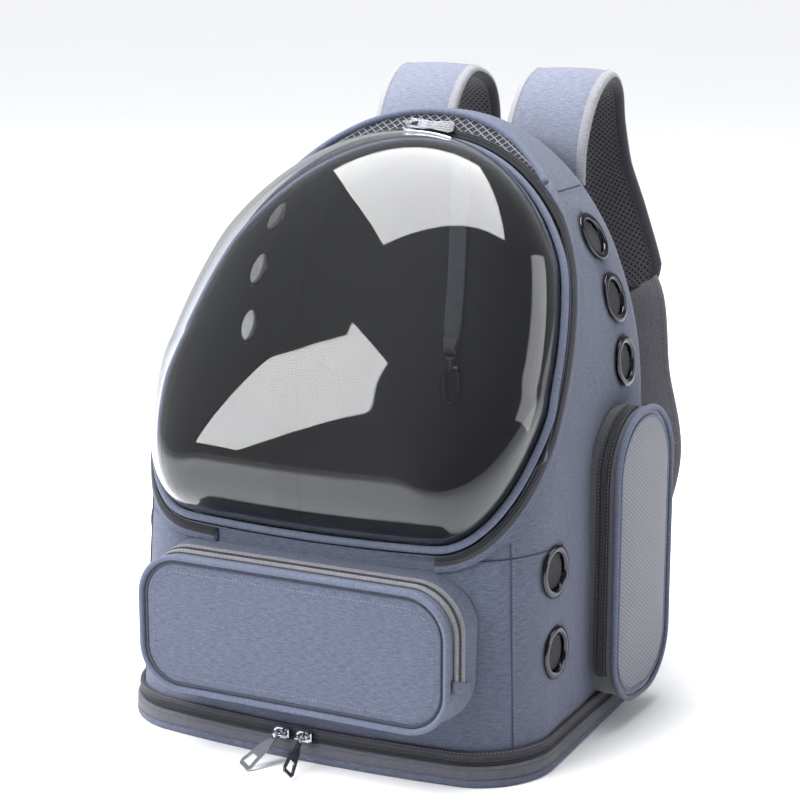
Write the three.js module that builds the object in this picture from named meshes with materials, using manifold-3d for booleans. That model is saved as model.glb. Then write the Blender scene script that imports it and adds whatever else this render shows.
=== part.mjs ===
// Bubble pet carrier backpack: a zipped fabric cabin with an arched top and a slanted
// front that a clear dome closes, standing on a shallow padded base.
// Millimetres, +Z up. The origin is the middle of the base's underside, the floor.
// The dome faces -Y, the wearer's back is on the +Y side.

import * as THREE from 'three';
import { mergeVertices } from 'three/addons/utils/BufferGeometryUtils.js';
import Module from 'manifold-3d';

const wasm = await Module();
wasm.setup();

// Driving dimensions: the cabin

const bodyHalfWidth = 161;
const bodyHeight = 435;
const springHeight = 215;
const archPower = 2.15;
const bodyFront = 127;
const bodyBack = 112;
const frontTaper = 8;
const taperBack = 60;
const footForward = 12;
const footBow = 14;
const sillBow = 5;
const footCorner = 46;
const sillCorner = 60;
const sideFlare = 0.061;
const backRounding = 20;
const wall = 3;
const fit = 0.3;

// Driving dimensions: the padded base and its zip

const baseFloor = 4;
const baseWallHeight = 15;
const baseProud = 4;
const bandHeight = 24;
const zipProud = 3.2;
const zipBackGap = 20;
const bandFoot = baseWallHeight + fit;

// Driving dimensions: the slanted window and its dome

const windowTilt = THREE.MathUtils.degToRad(36.3);
const windowSill = 155;
const windowTopGap = 23.44;
const windowHeight = (bodyHeight - windowSill) / Math.cos(windowTilt) - windowTopGap;
const windowCrownRise = 200;
const windowCrownWidth = 158;
const domeBulge = 66;
const domeFullness = 2.5;
const domeWall = 2;
const domeInset = 6;
const domeSeat = 3;
const windowPipingRadius = 2.6;
const windowZipWidth = 11;
const windowZipThickness = 1.6;
const windowZipStart = -71;
const windowZipEnd = 95;
const crescentThickness = 1.5;
const crescentHalfWidth = 108;

// Driving dimensions: pockets

const pocketHalfWidth = 118;
const pocketShift = 3;
const pocketFloor = 45;
const pocketTop = 141;
const pocketFace = 160;
const pocketCorner = 30;
const pocketFlare = 5;
const pocketEdge = 5;
const pocketWall = 2.5;
const pocketPipingRadius = 2.2;
const pocketZipWidth = 12;
const pocketZipSetback = 8;
const pocketZipEnd = 76;
const pocketZipThickness = 1.6;

const sidePocketWidth = 95;
const sidePocketFloor = 17;
const sidePocketTop = 232;
const sidePocketMiddle = 46;
const sidePocketFront = 18;
const sidePocketSlant = 6;
const sidePocketTopRadius = 46;
const sidePocketFootRadius = 40;
const sidePocketWall = 2;
const sidePocketPiping = 2;
const sidePocketEdge = 5;
const sidePocketZipSetback = 6;
const sidePocketZipWidth = 9;
const sidePocketZipFoot = 40;

// Driving dimensions: eyelet vents

const ventOuter = 18.5;
const ventHole = 12.75;
const ventSleeve = 14.5;
const ventSeat = 0.6;
const ventLip = 2.4;
const netThickness = 0.8;
const netRadius = 11.9;
const upperVents = [350, 307, 261];
const upperVentBack = 63;
const lowerVents = [138, 80];
const lowerVentFront = 64;

// Driving dimensions: back panel, straps and their webbing

const padThickness = 12;
const padInset = 14;
const padBevel = 4.8;
const padFloor = 30;
const padMiddle = new THREE.Vector2(0, 0.5 * (bodyHeight + padFloor));
const strapWidth = 70;
const strapThickness = 12;
const strapRise = 78;
const strapReachLeft = 98;
const strapReachRight = 76;
const strapRootHeight = 378;
const webbingThickness = 2;
const webbingWidth = 56;
const webbingFoot = 58;
const strapLeft = -46;
const strapRight = 66;
const strapLean = 38;

// Driving dimensions: zip sliders and their pull tabs

const sliderLength = 12;
const sliderWidth = 9;
const sliderHeight = 4;
const sliderBevel = 0.8;
const bridgeRise = 4.4;
const bridgeRadius = 0.8;
const bridgeReach = 0.4 * sliderLength;
const pullLength = 33;
const pullWidth = 10;
const pullThickness = 1.6;
const pullEyeRadius = 3.3;
const pullEyeHole = 1.9;
const pullFootGap = 1.2;
const leftPullSwing = THREE.MathUtils.degToRad(-24);
const leftPullTwist = THREE.MathUtils.degToRad(15);
const rightPullSwing = THREE.MathUtils.degToRad(10);
const rightPullTwist = THREE.MathUtils.degToRad(62);
const baseSliderGap = 18;
const baseSliderOffset = -4;
const windowSliderOffset = -15;
const windowPullLength = 34;
const windowPullRest = THREE.MathUtils.degToRad(6);

// Driving dimensions: the leash inside the cabin and its snap hook

const leashWidth = 15;
const leashThickness = 1.5;
const leashTop = 404;
const leashEnd = 248;
const leashShift = 8;
const hookShift = 0;
const leashLoopHole = 2.4;
const eyeWidth = 14;
const eyeHeight = 8;
const eyeBar = 1.5;
const barrelRadius = 3.2;
const barrelLength = 9;
const hookBar = 2.1;
const hookReach = 6.4;
const hookDrop = 27;
const hookMouth = 0.6;
const gateBar = 1.5;

// Drawing fineness

const archSteps = 28;
const cornerSteps = 5;
const bowSteps = 4;
const roundingSteps = 3;
const rimSteps = 48;
const padSteps = 30;
const taperSteps = 3;
const domeSteps = 5;
const tubeSides = 6;
const ventSides = 12;
const halvings = 20;
const weld = 1e-4;

// Colours

const paint = (color, roughness, metalness = 0) =>
  new THREE.MeshStandardMaterial({ color, roughness, metalness });
const fabric = paint(0x7f88a3, 0.9);
const darkTape = paint(0x3f4046, 0.8);
const greyCloth = paint(0x77757c, 0.9);
const meshCloth = paint(0x55555c, 0.9);
const chrome = paint(0xd9dbe0, 0.15, 1);
const gunmetal = paint(0x2b2d31, 0.25, 1);
const blackPlastic = paint(0x17181a, 0.45);
const clear = paint(0xaeb4bb, 0.05);

const vec = (x, y, z) => new THREE.Vector3(x, y, z);
const far = 4 * bodyHeight;

// Meshes: closed skins, solids, joins and cuts

function volumeOf(points, faces) {
  let sum = 0;
  for (let i = 0; i < faces.length; i += 3) {
    const [a, b, c] = [points[faces[i]], points[faces[i + 1]], points[faces[i + 2]]];
    sum += a.dot(b.clone().cross(c));
  }
  return sum / 6;
}

function skin(points, faces) {
  const outward = volumeOf(points, faces) > 0;
  const index = outward ? faces : faces.slice().reverse();
  const geometry = new THREE.BufferGeometry();
  const places = points.flatMap((p) => p.toArray());
  geometry.setAttribute('position', new THREE.Float32BufferAttribute(places, 3));
  geometry.setIndex(index);
  return geometry;
}

function loft(rings, looped = false) {
  const count = rings[0].length;
  const points = rings.flat();
  const faces = [];
  const spans = looped ? rings.length : rings.length - 1;
  for (let ring = 0; ring < spans; ring += 1) {
    const here = ring * count;
    const there = ((ring + 1) % rings.length) * count;
    for (let i = 0; i < count; i += 1) {
      const j = (i + 1) % count;
      faces.push(here + i, here + j, there + j, here + i, there + j, there + i);
    }
  }
  if (!looped) {
    for (const [start, turned] of [[0, true], [(rings.length - 1) * count, false]]) {
      const centre = vec(0, 0, 0);
      for (let i = 0; i < count; i += 1) centre.addScaledVector(points[start + i], 1 / count);
      const hub = points.push(centre) - 1;
      for (let i = 0; i < count; i += 1) {
        const j = (i + 1) % count;
        faces.push(hub, start + (turned ? j : i), start + (turned ? i : j));
      }
    }
  }
  return skin(points, faces);
}

function solid(geometry) {
  const bare = new THREE.BufferGeometry();
  bare.setAttribute('position', geometry.getAttribute('position').clone());
  if (geometry.index) bare.setIndex(geometry.index.clone());
  const merged = mergeVertices(bare, weld);
  return new wasm.Manifold(new wasm.Mesh({
    numProp: 3,
    vertProperties: new Float32Array(merged.getAttribute('position').array),
    triVerts: new Uint32Array(merged.index.array),
  }));
}

function geometryOf(body) {
  const mesh = body.getMesh();
  const geometry = new THREE.BufferGeometry();
  geometry.setAttribute('position', new THREE.BufferAttribute(new Float32Array(mesh.vertProperties), 3));
  geometry.setIndex(new THREE.BufferAttribute(new Uint32Array(mesh.triVerts), 1));
  return geometry;
}

function box(low, high) {
  const size = high.clone().sub(low);
  const middle = high.clone().add(low).multiplyScalar(0.5);
  return solid(new THREE.BoxGeometry(size.x, size.y, size.z).translate(middle.x, middle.y, middle.z));
}

const joined = (bodies) => bodies.reduce((whole, next) => whole.add(next));

// Outlines: closed loops of 2-D points, anticlockwise

function grown(outline, amount) {
  const count = outline.length;
  return outline.map((point, i) => {
    const before = point.clone().sub(outline[(i + count - 1) % count]).normalize();
    const after = outline[(i + 1) % count].clone().sub(point).normalize();
    const first = new THREE.Vector2(before.y, -before.x);
    const second = new THREE.Vector2(after.y, -after.x);
    const normal = first.clone().add(second).normalize();
    return point.clone().addScaledVector(normal, amount / Math.max(normal.dot(first), 0.5));
  });
}

function evened(outline, count) {
  const closed = [...outline, outline[0]];
  const travelled = [0];
  for (let i = 1; i < closed.length; i += 1) {
    travelled.push(travelled[i - 1] + closed[i].distanceTo(closed[i - 1]));
  }
  const total = travelled[travelled.length - 1];
  let at = 0;
  return Array.from({ length: count }, (_, k) => {
    const goal = (k / count) * total;
    while (travelled[at + 1] < goal) at += 1;
    const share = (goal - travelled[at]) / (travelled[at + 1] - travelled[at]);
    return closed[at].clone().lerp(closed[at + 1], share);
  });
}

// A rectangle with rounded corners, given by its sides and its two pairs of radii.
function roundedRectangle(left, right, low, high, lowRadius, highRadius) {
  const corners = [
    [right - lowRadius, low + lowRadius, lowRadius, -Math.PI / 2],
    [right - highRadius, high - highRadius, highRadius, 0],
    [left + highRadius, high - highRadius, highRadius, Math.PI / 2],
    [left + lowRadius, low + lowRadius, lowRadius, Math.PI],
  ];
  return corners.flatMap(([x, y, radius, from]) => Array.from({ length: cornerSteps + 1 }, (_, i) => {
    const angle = from + (i / cornerSteps) * (Math.PI / 2);
    return new THREE.Vector2(x + radius * Math.cos(angle), y + radius * Math.sin(angle));
  }));
}

// The cabin's form: an arch seen from the front, a bowed rounded rectangle seen from above

const lerp = THREE.MathUtils.lerp;
const clamp = THREE.MathUtils.clamp;

function archHalfWidth(height) {
  if (height <= springHeight) return bodyHalfWidth;
  const share = Math.min((height - springHeight) / (bodyHeight - springHeight), 1);
  return bodyHalfWidth * (1 - share ** archPower) ** (1 / archPower);
}

// How much narrower the arch is towards the front, as a share of its width.
function taperAt(y, z) {
  const forward = clamp((taperBack - y) / (taperBack + bodyFront), 0, 1.2);
  return 1 - (frontTaper / bodyHalfWidth) * forward * clamp(z / springHeight, 0, 1);
}

const halfWidthAt = (y, z) => archHalfWidth(z) * taperAt(y, z);

function archOutline() {
  const rise = bodyHeight - springHeight;
  const foot = [-far / 4, 0, springHeight / 2].map((z) => new THREE.Vector2(bodyHalfWidth, z));
  const points = [...foot];
  for (let i = 0; i <= archSteps; i += 1) {
    const angle = (i / archSteps) * Math.PI;
    const across = Math.sign(Math.cos(angle)) * Math.abs(Math.cos(angle)) ** (2 / archPower);
    const up = Math.abs(Math.sin(angle)) ** (2 / archPower);
    points.push(new THREE.Vector2(bodyHalfWidth * across, springHeight + rise * up));
  }
  points.push(...foot.reverse().map((p) => new THREE.Vector2(-p.x, p.y)));
  return points;
}

function archBlock(grow) {
  const forward = -bodyFront - 0.2 * (bodyFront + taperBack);
  const rows = Array.from({ length: taperSteps + 1 }, (_, i) => (
    { y: lerp(forward, taperBack, i / taperSteps), inset: 0 }));
  for (let i = 0; i <= roundingSteps; i += 1) {
    const angle = (i / roundingSteps) * (Math.PI / 2);
    rows.push({
      y: bodyBack - backRounding + (backRounding + grow) * Math.sin(angle),
      inset: (backRounding + grow) * (1 - Math.cos(angle)),
    });
  }
  return solid(loft(rows.map(({ y, inset }) => {
    const tapered = archOutline().map((p) => new THREE.Vector2(p.x * taperAt(y, p.y), p.y));
    return grown(tapered, grow - inset).map((p) => vec(p.x, y, p.y));
  })));
}

// One level of the front and its two corners: the face leans back and grows rounder with height.
function frontLevel(z) {
  const share = clamp(z / windowSill, 0, 1.4);
  const radius = lerp(footCorner, sillCorner, share);
  const bow = lerp(footBow, sillBow, Math.min(share, 1));
  const line = bow - lerp(bodyFront + footForward, bodyFront, Math.min(share, 1));
  return { radius, bow, line, half: bodyHalfWidth * taperAt(line + radius, z) };
}

function frontOutline(z) {
  const { radius, bow, line, half } = frontLevel(z);
  const outline = [new THREE.Vector2(-half - sideFlare * far / 4, line + radius + far / 4)];
  for (const side of [-1, 1]) {
    const middle = new THREE.Vector2(side * (half - radius), line + radius);
    for (let i = 0; i <= cornerSteps; i += 1) {
      const turn = (i / cornerSteps) * (Math.PI / 2);
      const angle = side < 0 ? Math.PI + turn : 1.5 * Math.PI + turn;
      outline.push(new THREE.Vector2(Math.cos(angle), Math.sin(angle)).multiplyScalar(radius).add(middle));
    }
    for (let i = 1; side < 0 && i < bowSteps; i += 1) {
      outline.push(new THREE.Vector2((2 * i / bowSteps - 1) * -middle.x, line));
    }
  }
  outline.push(new THREE.Vector2(half + sideFlare * far / 4, line + radius + far / 4));
  return outline.map((p) => new THREE.Vector2(p.x, p.y - bow * Math.max(1 - (p.x / half) ** 2, 0)));
}

function frontBlock(grow, low, high) {
  const middles = [0, 0.5, 1, 1.4].map((share) => share * windowSill);
  const levels = [low, ...middles.filter((z) => z > low && z < high), high];
  return solid(loft(levels.map((z) => grown(frontOutline(z), grow).map((p) => vec(p.x, p.y, z)))));
}

// The window's plane: u runs across, v up the slope from the sill, w out of the plane

const slopeUp = vec(0, Math.sin(windowTilt), Math.cos(windowTilt));
const slopeOut = vec(0, -Math.cos(windowTilt), Math.sin(windowTilt));
const sill = vec(0, -bodyFront, windowSill);

const onSlope = (u, v, w) =>
  vec(u, 0, 0).add(sill).addScaledVector(slopeUp, v).addScaledVector(slopeOut, w);

function slopeBox(u, v, w) {
  const [low, high] = [vec(u[0], v[0], w[0]), vec(u[1], v[1], w[1])];
  const size = high.clone().sub(low);
  const middle = high.clone().add(low).multiplyScalar(0.5);
  const basis = new THREE.Matrix4().makeBasis(vec(1, 0, 0), slopeUp, slopeOut).setPosition(sill);
  return solid(new THREE.BoxGeometry(size.x, size.y, size.z)
    .translate(middle.x, middle.y, middle.z).applyMatrix4(basis));
}

const behindSlope = (grow) => slopeBox([-far, far], [-far, far], [-far, grow]);

function bodyBlock(grow, low = bandFoot, high = far / 2) {
  return archBlock(grow).intersect(frontBlock(grow, low, high)).intersect(behindSlope(grow));
}

const skinLayer = (from, to, low, high) =>
  bodyBlock(to, low, high).subtract(bodyBlock(from, low - 1, high + 1));

// The window's rim: the slope's section of the cabin, with an elliptic crown at the top.

const slopeHeight = (y) => windowSill + (y + bodyFront) / Math.tan(windowTilt);

// A point of the front's right half at a level: share 0 is the middle, 1 the end of the corner.
function frontPoint(share, z) {
  const { radius, bow, line, half } = frontLevel(z);
  const turn = clamp(2 * share - 1, 0, 1) * (Math.PI / 2);
  const x = (half - radius) * Math.min(2 * share, 1) + radius * Math.sin(turn);
  const y = line + radius * (1 - Math.cos(turn));
  return new THREE.Vector2(x, y - bow * (1 - (x / half) ** 2));
}

function rimSide() {
  const points = [];
  for (let i = 0; i <= rimSteps; i += 1) {
    let z = windowSill;
    for (let round = 0; round < 4; round += 1) z = slopeHeight(frontPoint(i / rimSteps, z).y);
    points.push(new THREE.Vector2(frontPoint(i / rimSteps, z).x, (z - windowSill) / Math.cos(windowTilt)));
  }
  const start = points[points.length - 1].y;
  for (let i = 1; i < 4 * rimSteps; i += 1) {
    const v = lerp(start, windowHeight, Math.sin((i / (4 * rimSteps)) * (Math.PI / 2)));
    const place = onSlope(0, v, 0);
    const crown = Math.max(v - windowHeight + windowCrownRise, 0) / windowCrownRise;
    const widest = windowCrownWidth * Math.sqrt(Math.max(1 - crown ** 2, 0));
    points.push(new THREE.Vector2(Math.min(halfWidthAt(place.y, place.z), widest), v));
  }
  return points;
}

function rimOutline(inset) {
  const side = rimSide();
  const whole = [...side.slice(1), ...side.reverse().map((p) => new THREE.Vector2(-p.x, p.y))];
  return grown(evened(whole, rimSteps), -inset);
}

function rimPrism(inset, low, high) {
  return solid(loft([low, high].map((w) => rimOutline(inset).map((p) => onSlope(p.x, p.y, w)))));
}

function tube(path, radius, sides = tubeSides, looped = false, across = vec(0, 0, 1)) {
  const rings = path.map((point, i) => {
    const before = path[looped ? (i + path.length - 1) % path.length : Math.max(i - 1, 0)];
    const after = path[looped ? (i + 1) % path.length : Math.min(i + 1, path.length - 1)];
    const along = after.clone().sub(before).normalize();
    const first = across.clone().addScaledVector(along, -across.dot(along)).normalize();
    const second = along.clone().cross(first);
    return Array.from({ length: sides }, (_, k) => {
      const angle = (k / sides) * 2 * Math.PI;
      return point.clone()
        .addScaledVector(first, radius * Math.cos(angle))
        .addScaledVector(second, radius * Math.sin(angle));
    });
  });
  return loft(rings, looped);
}

const group = new THREE.Group();

function add(name, geometry, material, place = group) {
  const mesh = new THREE.Mesh(geometry, material);
  mesh.name = name;
  place.add(mesh);
  return mesh;
}

// Eyelet vents: each is a lip on the cloth and a sleeve through it

// The cabin's right side at a depth and a height: the front corner first, then the flank.
function sidePoint(y, z) {
  const { radius, line } = frontLevel(z);
  if (y >= line + radius) return vec(halfWidthAt(y, z), y, z);
  let [near, away] = [0.5, 1];
  for (let round = 0; round < halvings; round += 1) {
    const half = 0.5 * (near + away);
    if (frontPoint(half, z).y < y) near = half;
    else away = half;
  }
  return vec(frontPoint(near, z).x, y, z);
}

function ventPlaces() {
  const rows = [];
  for (const side of [-1, 1]) {
    const word = side < 0 ? 'left' : 'right';
    upperVents.forEach((z, i) => {
      const step = 1;
      const slope = archHalfWidth(z + step) - archHalfWidth(z - step);
      const out = vec(side * 2 * step, 0, -slope).normalize();
      const at = vec(side * halfWidthAt(upperVentBack, z), upperVentBack, z);
      rows.push({ name: `${word}_upper_${i + 1}`, at, out });
    });
    lowerVents.forEach((z, i) => {
      const middle = sidePoint(-lowerVentFront, z);
      const around = [[ventOuter, 0], [-ventOuter, 0], [0, ventOuter], [0, -ventOuter]]
        .map(([y, up]) => sidePoint(y - lowerVentFront, z + up));
      const out = around[0].clone().sub(around[1]).cross(around[2].clone().sub(around[3])).normalize();
      const lift = Math.max(0, ...around.map((p) => p.clone().sub(middle).dot(out)));
      const at = middle.addScaledVector(out, lift);
      rows.push({
        name: `${word}_lower_${i + 1}`,
        at: at.multiply(vec(side, 1, 1)),
        out: out.multiply(vec(side, 1, 1)),
      });
    });
  }
  return rows;
}

const turnTo = (out) => new THREE.Quaternion().setFromUnitVectors(vec(0, 1, 0), out);

function ventHoleCutter({ at, out }) {
  const drill = new THREE.CylinderGeometry(ventSleeve + fit, ventSleeve + fit, 6 * wall, ventSides);
  return solid(drill.applyQuaternion(turnTo(out)).translate(at.x, at.y, at.z));
}

function ventRing() {
  const profile = [
    [ventHole, -wall], [ventSleeve, -wall], [ventSleeve, ventSeat], [ventOuter, ventSeat],
    [ventOuter, 0.5 * ventLip], [ventOuter - 0.4 * ventLip, ventLip],
    [ventHole + 0.5 * ventLip, ventLip], [ventHole, 0.5 * ventLip], [ventHole, -wall],
  ].map(([r, h]) => new THREE.Vector2(r, h));
  return geometryOf(solid(new THREE.LatheGeometry(profile, ventSides)));
}

// The cabin's shell, its crescent of mesh and its base

function bodyShell() {
  const hollow = archBlock(-wall).intersect(frontBlock(-wall, bandFoot - 1, far / 2));
  const cutters = ventPlaces().map(ventHoleCutter);
  return geometryOf(bodyBlock(0).subtract(hollow).subtract(joined(cutters)));
}

function crescentMesh() {
  const slab = slopeBox([-far, far], [windowHeight - windowCrownRise, far], [-crescentThickness, 0]);
  const inside = archBlock(-wall - fit).intersect(frontBlock(-wall - fit, bandFoot, far / 2));
  const reach = box(vec(-crescentHalfWidth, -far, -far), vec(crescentHalfWidth, far, far));
  const window = rimPrism(0, -far / 8, far / 8);
  const pieces = slab.intersect(inside).intersect(reach).subtract(window).decompose();
  return geometryOf(pieces.reduce((best, next) => (next.volume() > best.volume() ? next : best)));
}

function baseTray() {
  const outer = archBlock(baseProud).intersect(frontBlock(baseProud, 0, baseWallHeight));
  const inner = archBlock(-wall).intersect(frontBlock(-wall, baseFloor, far / 8));
  return geometryOf(outer.subtract(inner));
}

function baseZip() {
  const ring = skinLayer(fit, fit + zipProud, bandFoot, bandHeight);
  return geometryOf(ring.subtract(box(vec(-far, bodyBack - zipBackGap, -far), vec(far, far, far))));
}

add('body_shell', bodyShell(), fabric);
add('top_mesh', crescentMesh(), meshCloth);
add('base_tray', baseTray(), fabric);
add('base_zip', baseZip(), darkTape);

ventPlaces().forEach((vent) => {
  const place = new THREE.Group();
  place.position.copy(vent.at);
  place.quaternion.copy(turnTo(vent.out));
  group.add(place);
  add(`vent_${vent.name}`, ventRing(), gunmetal, place);
  const net = new THREE.CylinderGeometry(netRadius, netRadius, netThickness, ventSides);
  add(`vent_net_${vent.name}`, net.translate(0, -0.5 * wall, 0), meshCloth, place);
});

// The window: clear dome, piping round its rim, and the zip that closes it

function domeBlock(inset, bulge, foot) {
  const outline = rimOutline(inset);
  const middle = new THREE.Vector2(0, 0.5 * windowHeight);
  const rows = [{ scale: 1, w: foot }];
  for (let i = 0; i < domeSteps; i += 1) {
    const angle = (i / domeSteps) * (Math.PI / 2);
    rows.push({
      scale: Math.cos(angle) ** (2 / domeFullness),
      w: domeSeat + bulge * Math.sin(angle) ** (2 / domeFullness),
    });
  }
  const rings = rows.map(({ scale, w }) => outline.map((p) => {
    const q = p.clone().sub(middle).multiplyScalar(scale).add(middle);
    return onSlope(q.x, q.y, w);
  }));
  const crown = onSlope(middle.x, middle.y, domeSeat + bulge);
  rings.push(outline.map(() => crown.clone()));
  return solid(loft(rings));
}

const dome = domeBlock(domeInset, domeBulge, 0).subtract(
  domeBlock(domeInset + domeWall, domeBulge - domeWall, -domeWall));
add('window_dome', geometryOf(dome), clear);

const windowPipingPath = rimOutline(windowPipingRadius + fit)
  .map((p) => onSlope(p.x, p.y, windowPipingRadius + fit));
add('window_piping', tube(windowPipingPath, windowPipingRadius, tubeSides, true, slopeOut), fabric);

function windowZip() {
  const path = rimOutline(0).map((p) => onSlope(p.x, p.y, 0));
  const reach = solid(tube(path, windowZipWidth, tubeSides, true, slopeOut));
  const hinge = box(vec(windowZipStart, -far, -far), vec(windowZipEnd, far, windowSill + windowZipWidth));
  return geometryOf(skinLayer(fit, fit + windowZipThickness, bandHeight, far / 2)
    .intersect(reach).subtract(rimPrism(-fit, -far / 8, far / 8)).subtract(hinge));
}
add('window_zip', windowZip(), darkTape);

// Pockets: a rounded tray with a soft front edge, open towards the cabin

// Rows run from the face back to the foot; each says how far in and how far back it lies.
function pocketBlock(outlineAt, place, shrink, edge, depth) {
  const rows = [];
  for (let i = 0; i <= roundingSteps; i += 1) {
    const angle = (i / roundingSteps) * (Math.PI / 2);
    rows.push({
      inset: shrink + edge * (1 - Math.sin(angle)),
      back: shrink + edge * (1 - Math.cos(angle)),
    });
  }
  rows.push({ inset: shrink, back: depth });
  return solid(loft(rows.map(({ inset, back }) =>
    outlineAt(inset, back).map((p) => place(p.x, p.y, back)))));
}

const frontPocketPlace = (x, z, back) => vec(x + pocketShift, back - pocketFace, z);

function frontPocketOutline(inset, back) {
  const flare = pocketFlare * Math.min(back / (pocketFace - bodyFront), 1) - inset;
  const radius = pocketCorner + flare;
  const half = pocketHalfWidth + flare;
  return roundedRectangle(-half, half, pocketFloor - flare, pocketTop + flare, radius, radius);
}

const frontPocketBlock = (shrink) =>
  pocketBlock(frontPocketOutline, frontPocketPlace, shrink, pocketEdge, pocketFace);

function frontPocket() {
  return geometryOf(frontPocketBlock(0).subtract(frontPocketBlock(pocketWall)).subtract(bodyBlock(fit, 0)));
}

function frontPocketZip() {
  const near = pocketZipSetback - pocketFace;
  const stretch = box(vec(-far, near, pocketZipEnd), vec(far, near + pocketZipWidth, far));
  const layer = frontPocketBlock(-fit - pocketZipThickness).subtract(frontPocketBlock(-fit));
  return geometryOf(layer.intersect(stretch).subtract(bodyBlock(fit, 0)));
}

// The piping lies along the middle of the pocket's rounded front edge.
function pipingPath(outlineAt, place, edge, radius) {
  const stand = (edge + radius + fit) * Math.SQRT1_2;
  return outlineAt(edge - stand, 0).map((p) => place(p.x, p.y, edge - stand));
}

add('front_pocket', frontPocket(), fabric);
add('front_pocket_zip', frontPocketZip(), darkTape);
add('front_pocket_piping', tube(
  pipingPath(frontPocketOutline, frontPocketPlace, pocketEdge, pocketPipingRadius),
  pocketPipingRadius, tubeSides, true, vec(0, 1, 0)), fabric);

// Side pockets: their face slants, so that the back stands further out than the front

function sidePocketOutline(inset) {
  const half = 0.5 * sidePocketWidth - inset;
  return roundedRectangle(
    sidePocketMiddle - half, sidePocketMiddle + half, sidePocketFloor + inset, sidePocketTop - inset,
    sidePocketFootRadius - inset, sidePocketTopRadius - inset);
}

const sidePocketDepth = (y) =>
  bodyHalfWidth + sidePocketFront + sidePocketSlant * ((y - sidePocketMiddle) / sidePocketWidth + 0.5);

for (const [word, side] of [['left', -1], ['right', 1]]) {
  const place = (y, z, back) => vec(side * (sidePocketDepth(y) - back), y, z);
  const reach = sidePocketFront + 2 * sidePocketSlant;
  const blockOf = (shrink) => pocketBlock(sidePocketOutline, place, shrink, sidePocketEdge, reach);
  const base = archBlock(baseProud + fit).intersect(frontBlock(baseProud + fit, -fit, bandHeight + fit));
  const clear = bodyBlock(fit, 0).add(base);
  add(`side_pocket_${word}`, geometryOf(
    blockOf(0).subtract(blockOf(sidePocketWall)).subtract(clear)), greyCloth);
  const layer = blockOf(-fit - pocketZipThickness).subtract(blockOf(-fit));
  const near = side * (bodyHalfWidth + sidePocketFront - sidePocketZipSetback);
  const inner = near - side * sidePocketZipWidth;
  const stretch = box(
    vec(Math.min(near, inner), -far, sidePocketZipFoot),
    vec(Math.max(near, inner), sidePocketMiddle, far));
  add(`side_pocket_${word}_zip`, geometryOf(layer.intersect(stretch).subtract(clear)), darkTape);
  add(`side_pocket_${word}_piping`, tube(
    pipingPath(sidePocketOutline, place, sidePocketEdge, sidePocketPiping),
    sidePocketPiping, tubeSides, true, vec(1, 0, 0)), fabric);
}

// The back panel, the shoulder straps and the webbing below them

function backPanel() {
  const outline = [
    new THREE.Vector2(bodyHalfWidth, padFloor),
    ...archOutline().filter((p) => p.y > padFloor),
    new THREE.Vector2(-bodyHalfWidth, padFloor),
  ];
  const rows = [
    { y: bodyBack + fit, inset: padInset },
    { y: bodyBack + fit + padThickness - padBevel, inset: padInset },
    { y: bodyBack + fit + padThickness, inset: padInset + padBevel },
  ];
  return geometryOf(solid(loft(rows.map(({ y, inset }) => evened(outline, padSteps).map((p) => {
    const q = p.clone().sub(padMiddle).multiplyScalar(1 - inset / bodyHalfWidth).add(padMiddle);
    return vec(q.x, y, q.y);
  })))));
}
add('back_panel', backPanel(), fabric);

// A flat band with round edges along a route whose rows hold a place, a width and a thickness.
function band(route, lift) {
  const curve = new THREE.CatmullRomCurve3(route.map(({ at }) => at));
  const count = 3 * (route.length - 1);
  return loft(Array.from({ length: count + 1 }, (_, i) => {
    const t = i / count;
    const along = curve.getTangent(t).normalize();
    const across = vec(1, 0, 0).addScaledVector(along, -along.x).normalize();
    const up = along.clone().cross(across);
    const at = t * (route.length - 1);
    const low = Math.min(Math.floor(at), route.length - 2);
    const wide = lerp(route[low].width, route[low + 1].width, at - low) / 2;
    const thick = lerp(route[low].thick, route[low + 1].thick, at - low) / 2;
    const middle = curve.getPoint(t).addScaledVector(up, lift);
    const flat = 1 - thick / wide;
    return [[-1, 0], [-flat, -1], [flat, -1], [1, 0], [flat, 1], [-flat, 1]].map(
      ([a, b]) => middle.clone().addScaledVector(across, a * wide).addScaledVector(up, b * thick));
  }));
}

// Rows: out is the strap's lean sideways, back its distance behind the pad, up its height
// above the root, as shares of strapLean, the side's reach and strapRise; width is a share too.
const strapRows = [
  { out: 0.00, back: 0.00, up: 0.00, width: 0.96, thick: 0.60 },
  { out: 0.00, back: 0.02, up: 0.42, width: 0.97, thick: 0.90 },
  { out: 0.05, back: 0.26, up: 0.84, width: 0.97, thick: 1.00 },
  { out: 0.10, back: 0.58, up: 1.00, width: 0.97, thick: 1.00 },
  { out: 0.06, back: 0.88, up: 0.86, width: 0.97, thick: 1.00 },
  { out: 0.05, back: 0.99, up: 0.50, width: 0.98, thick: 1.00 },
  { out: 0.20, back: 1.00, up: 0.02, width: 1.00, thick: 1.00 },
  { out: 0.56, back: 0.96, up: -0.48, width: 1.04, thick: 1.00 },
  { out: 0.90, back: 0.90, up: -0.98, width: 1.08, thick: 0.95 },
  { out: 1.00, back: 0.86, up: -1.20, width: 0.84, thick: 0.60 },
];
const webbingRows = [
  { out: 1.28, back: 0.84, up: 0.00, width: 1.00 },
  { out: 1.57, back: 0.78, up: 0.26, width: 0.93 },
  { out: 2.02, back: 0.62, up: 0.52, width: 0.86 },
  { out: 1.96, back: 0.34, up: 0.74, width: 0.80 },
  { out: 1.96, back: 0.03, up: 0.90, width: 0.76 },
  { out: 1.94, back: 0.00, up: 1.00, width: 0.74 },
];

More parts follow.
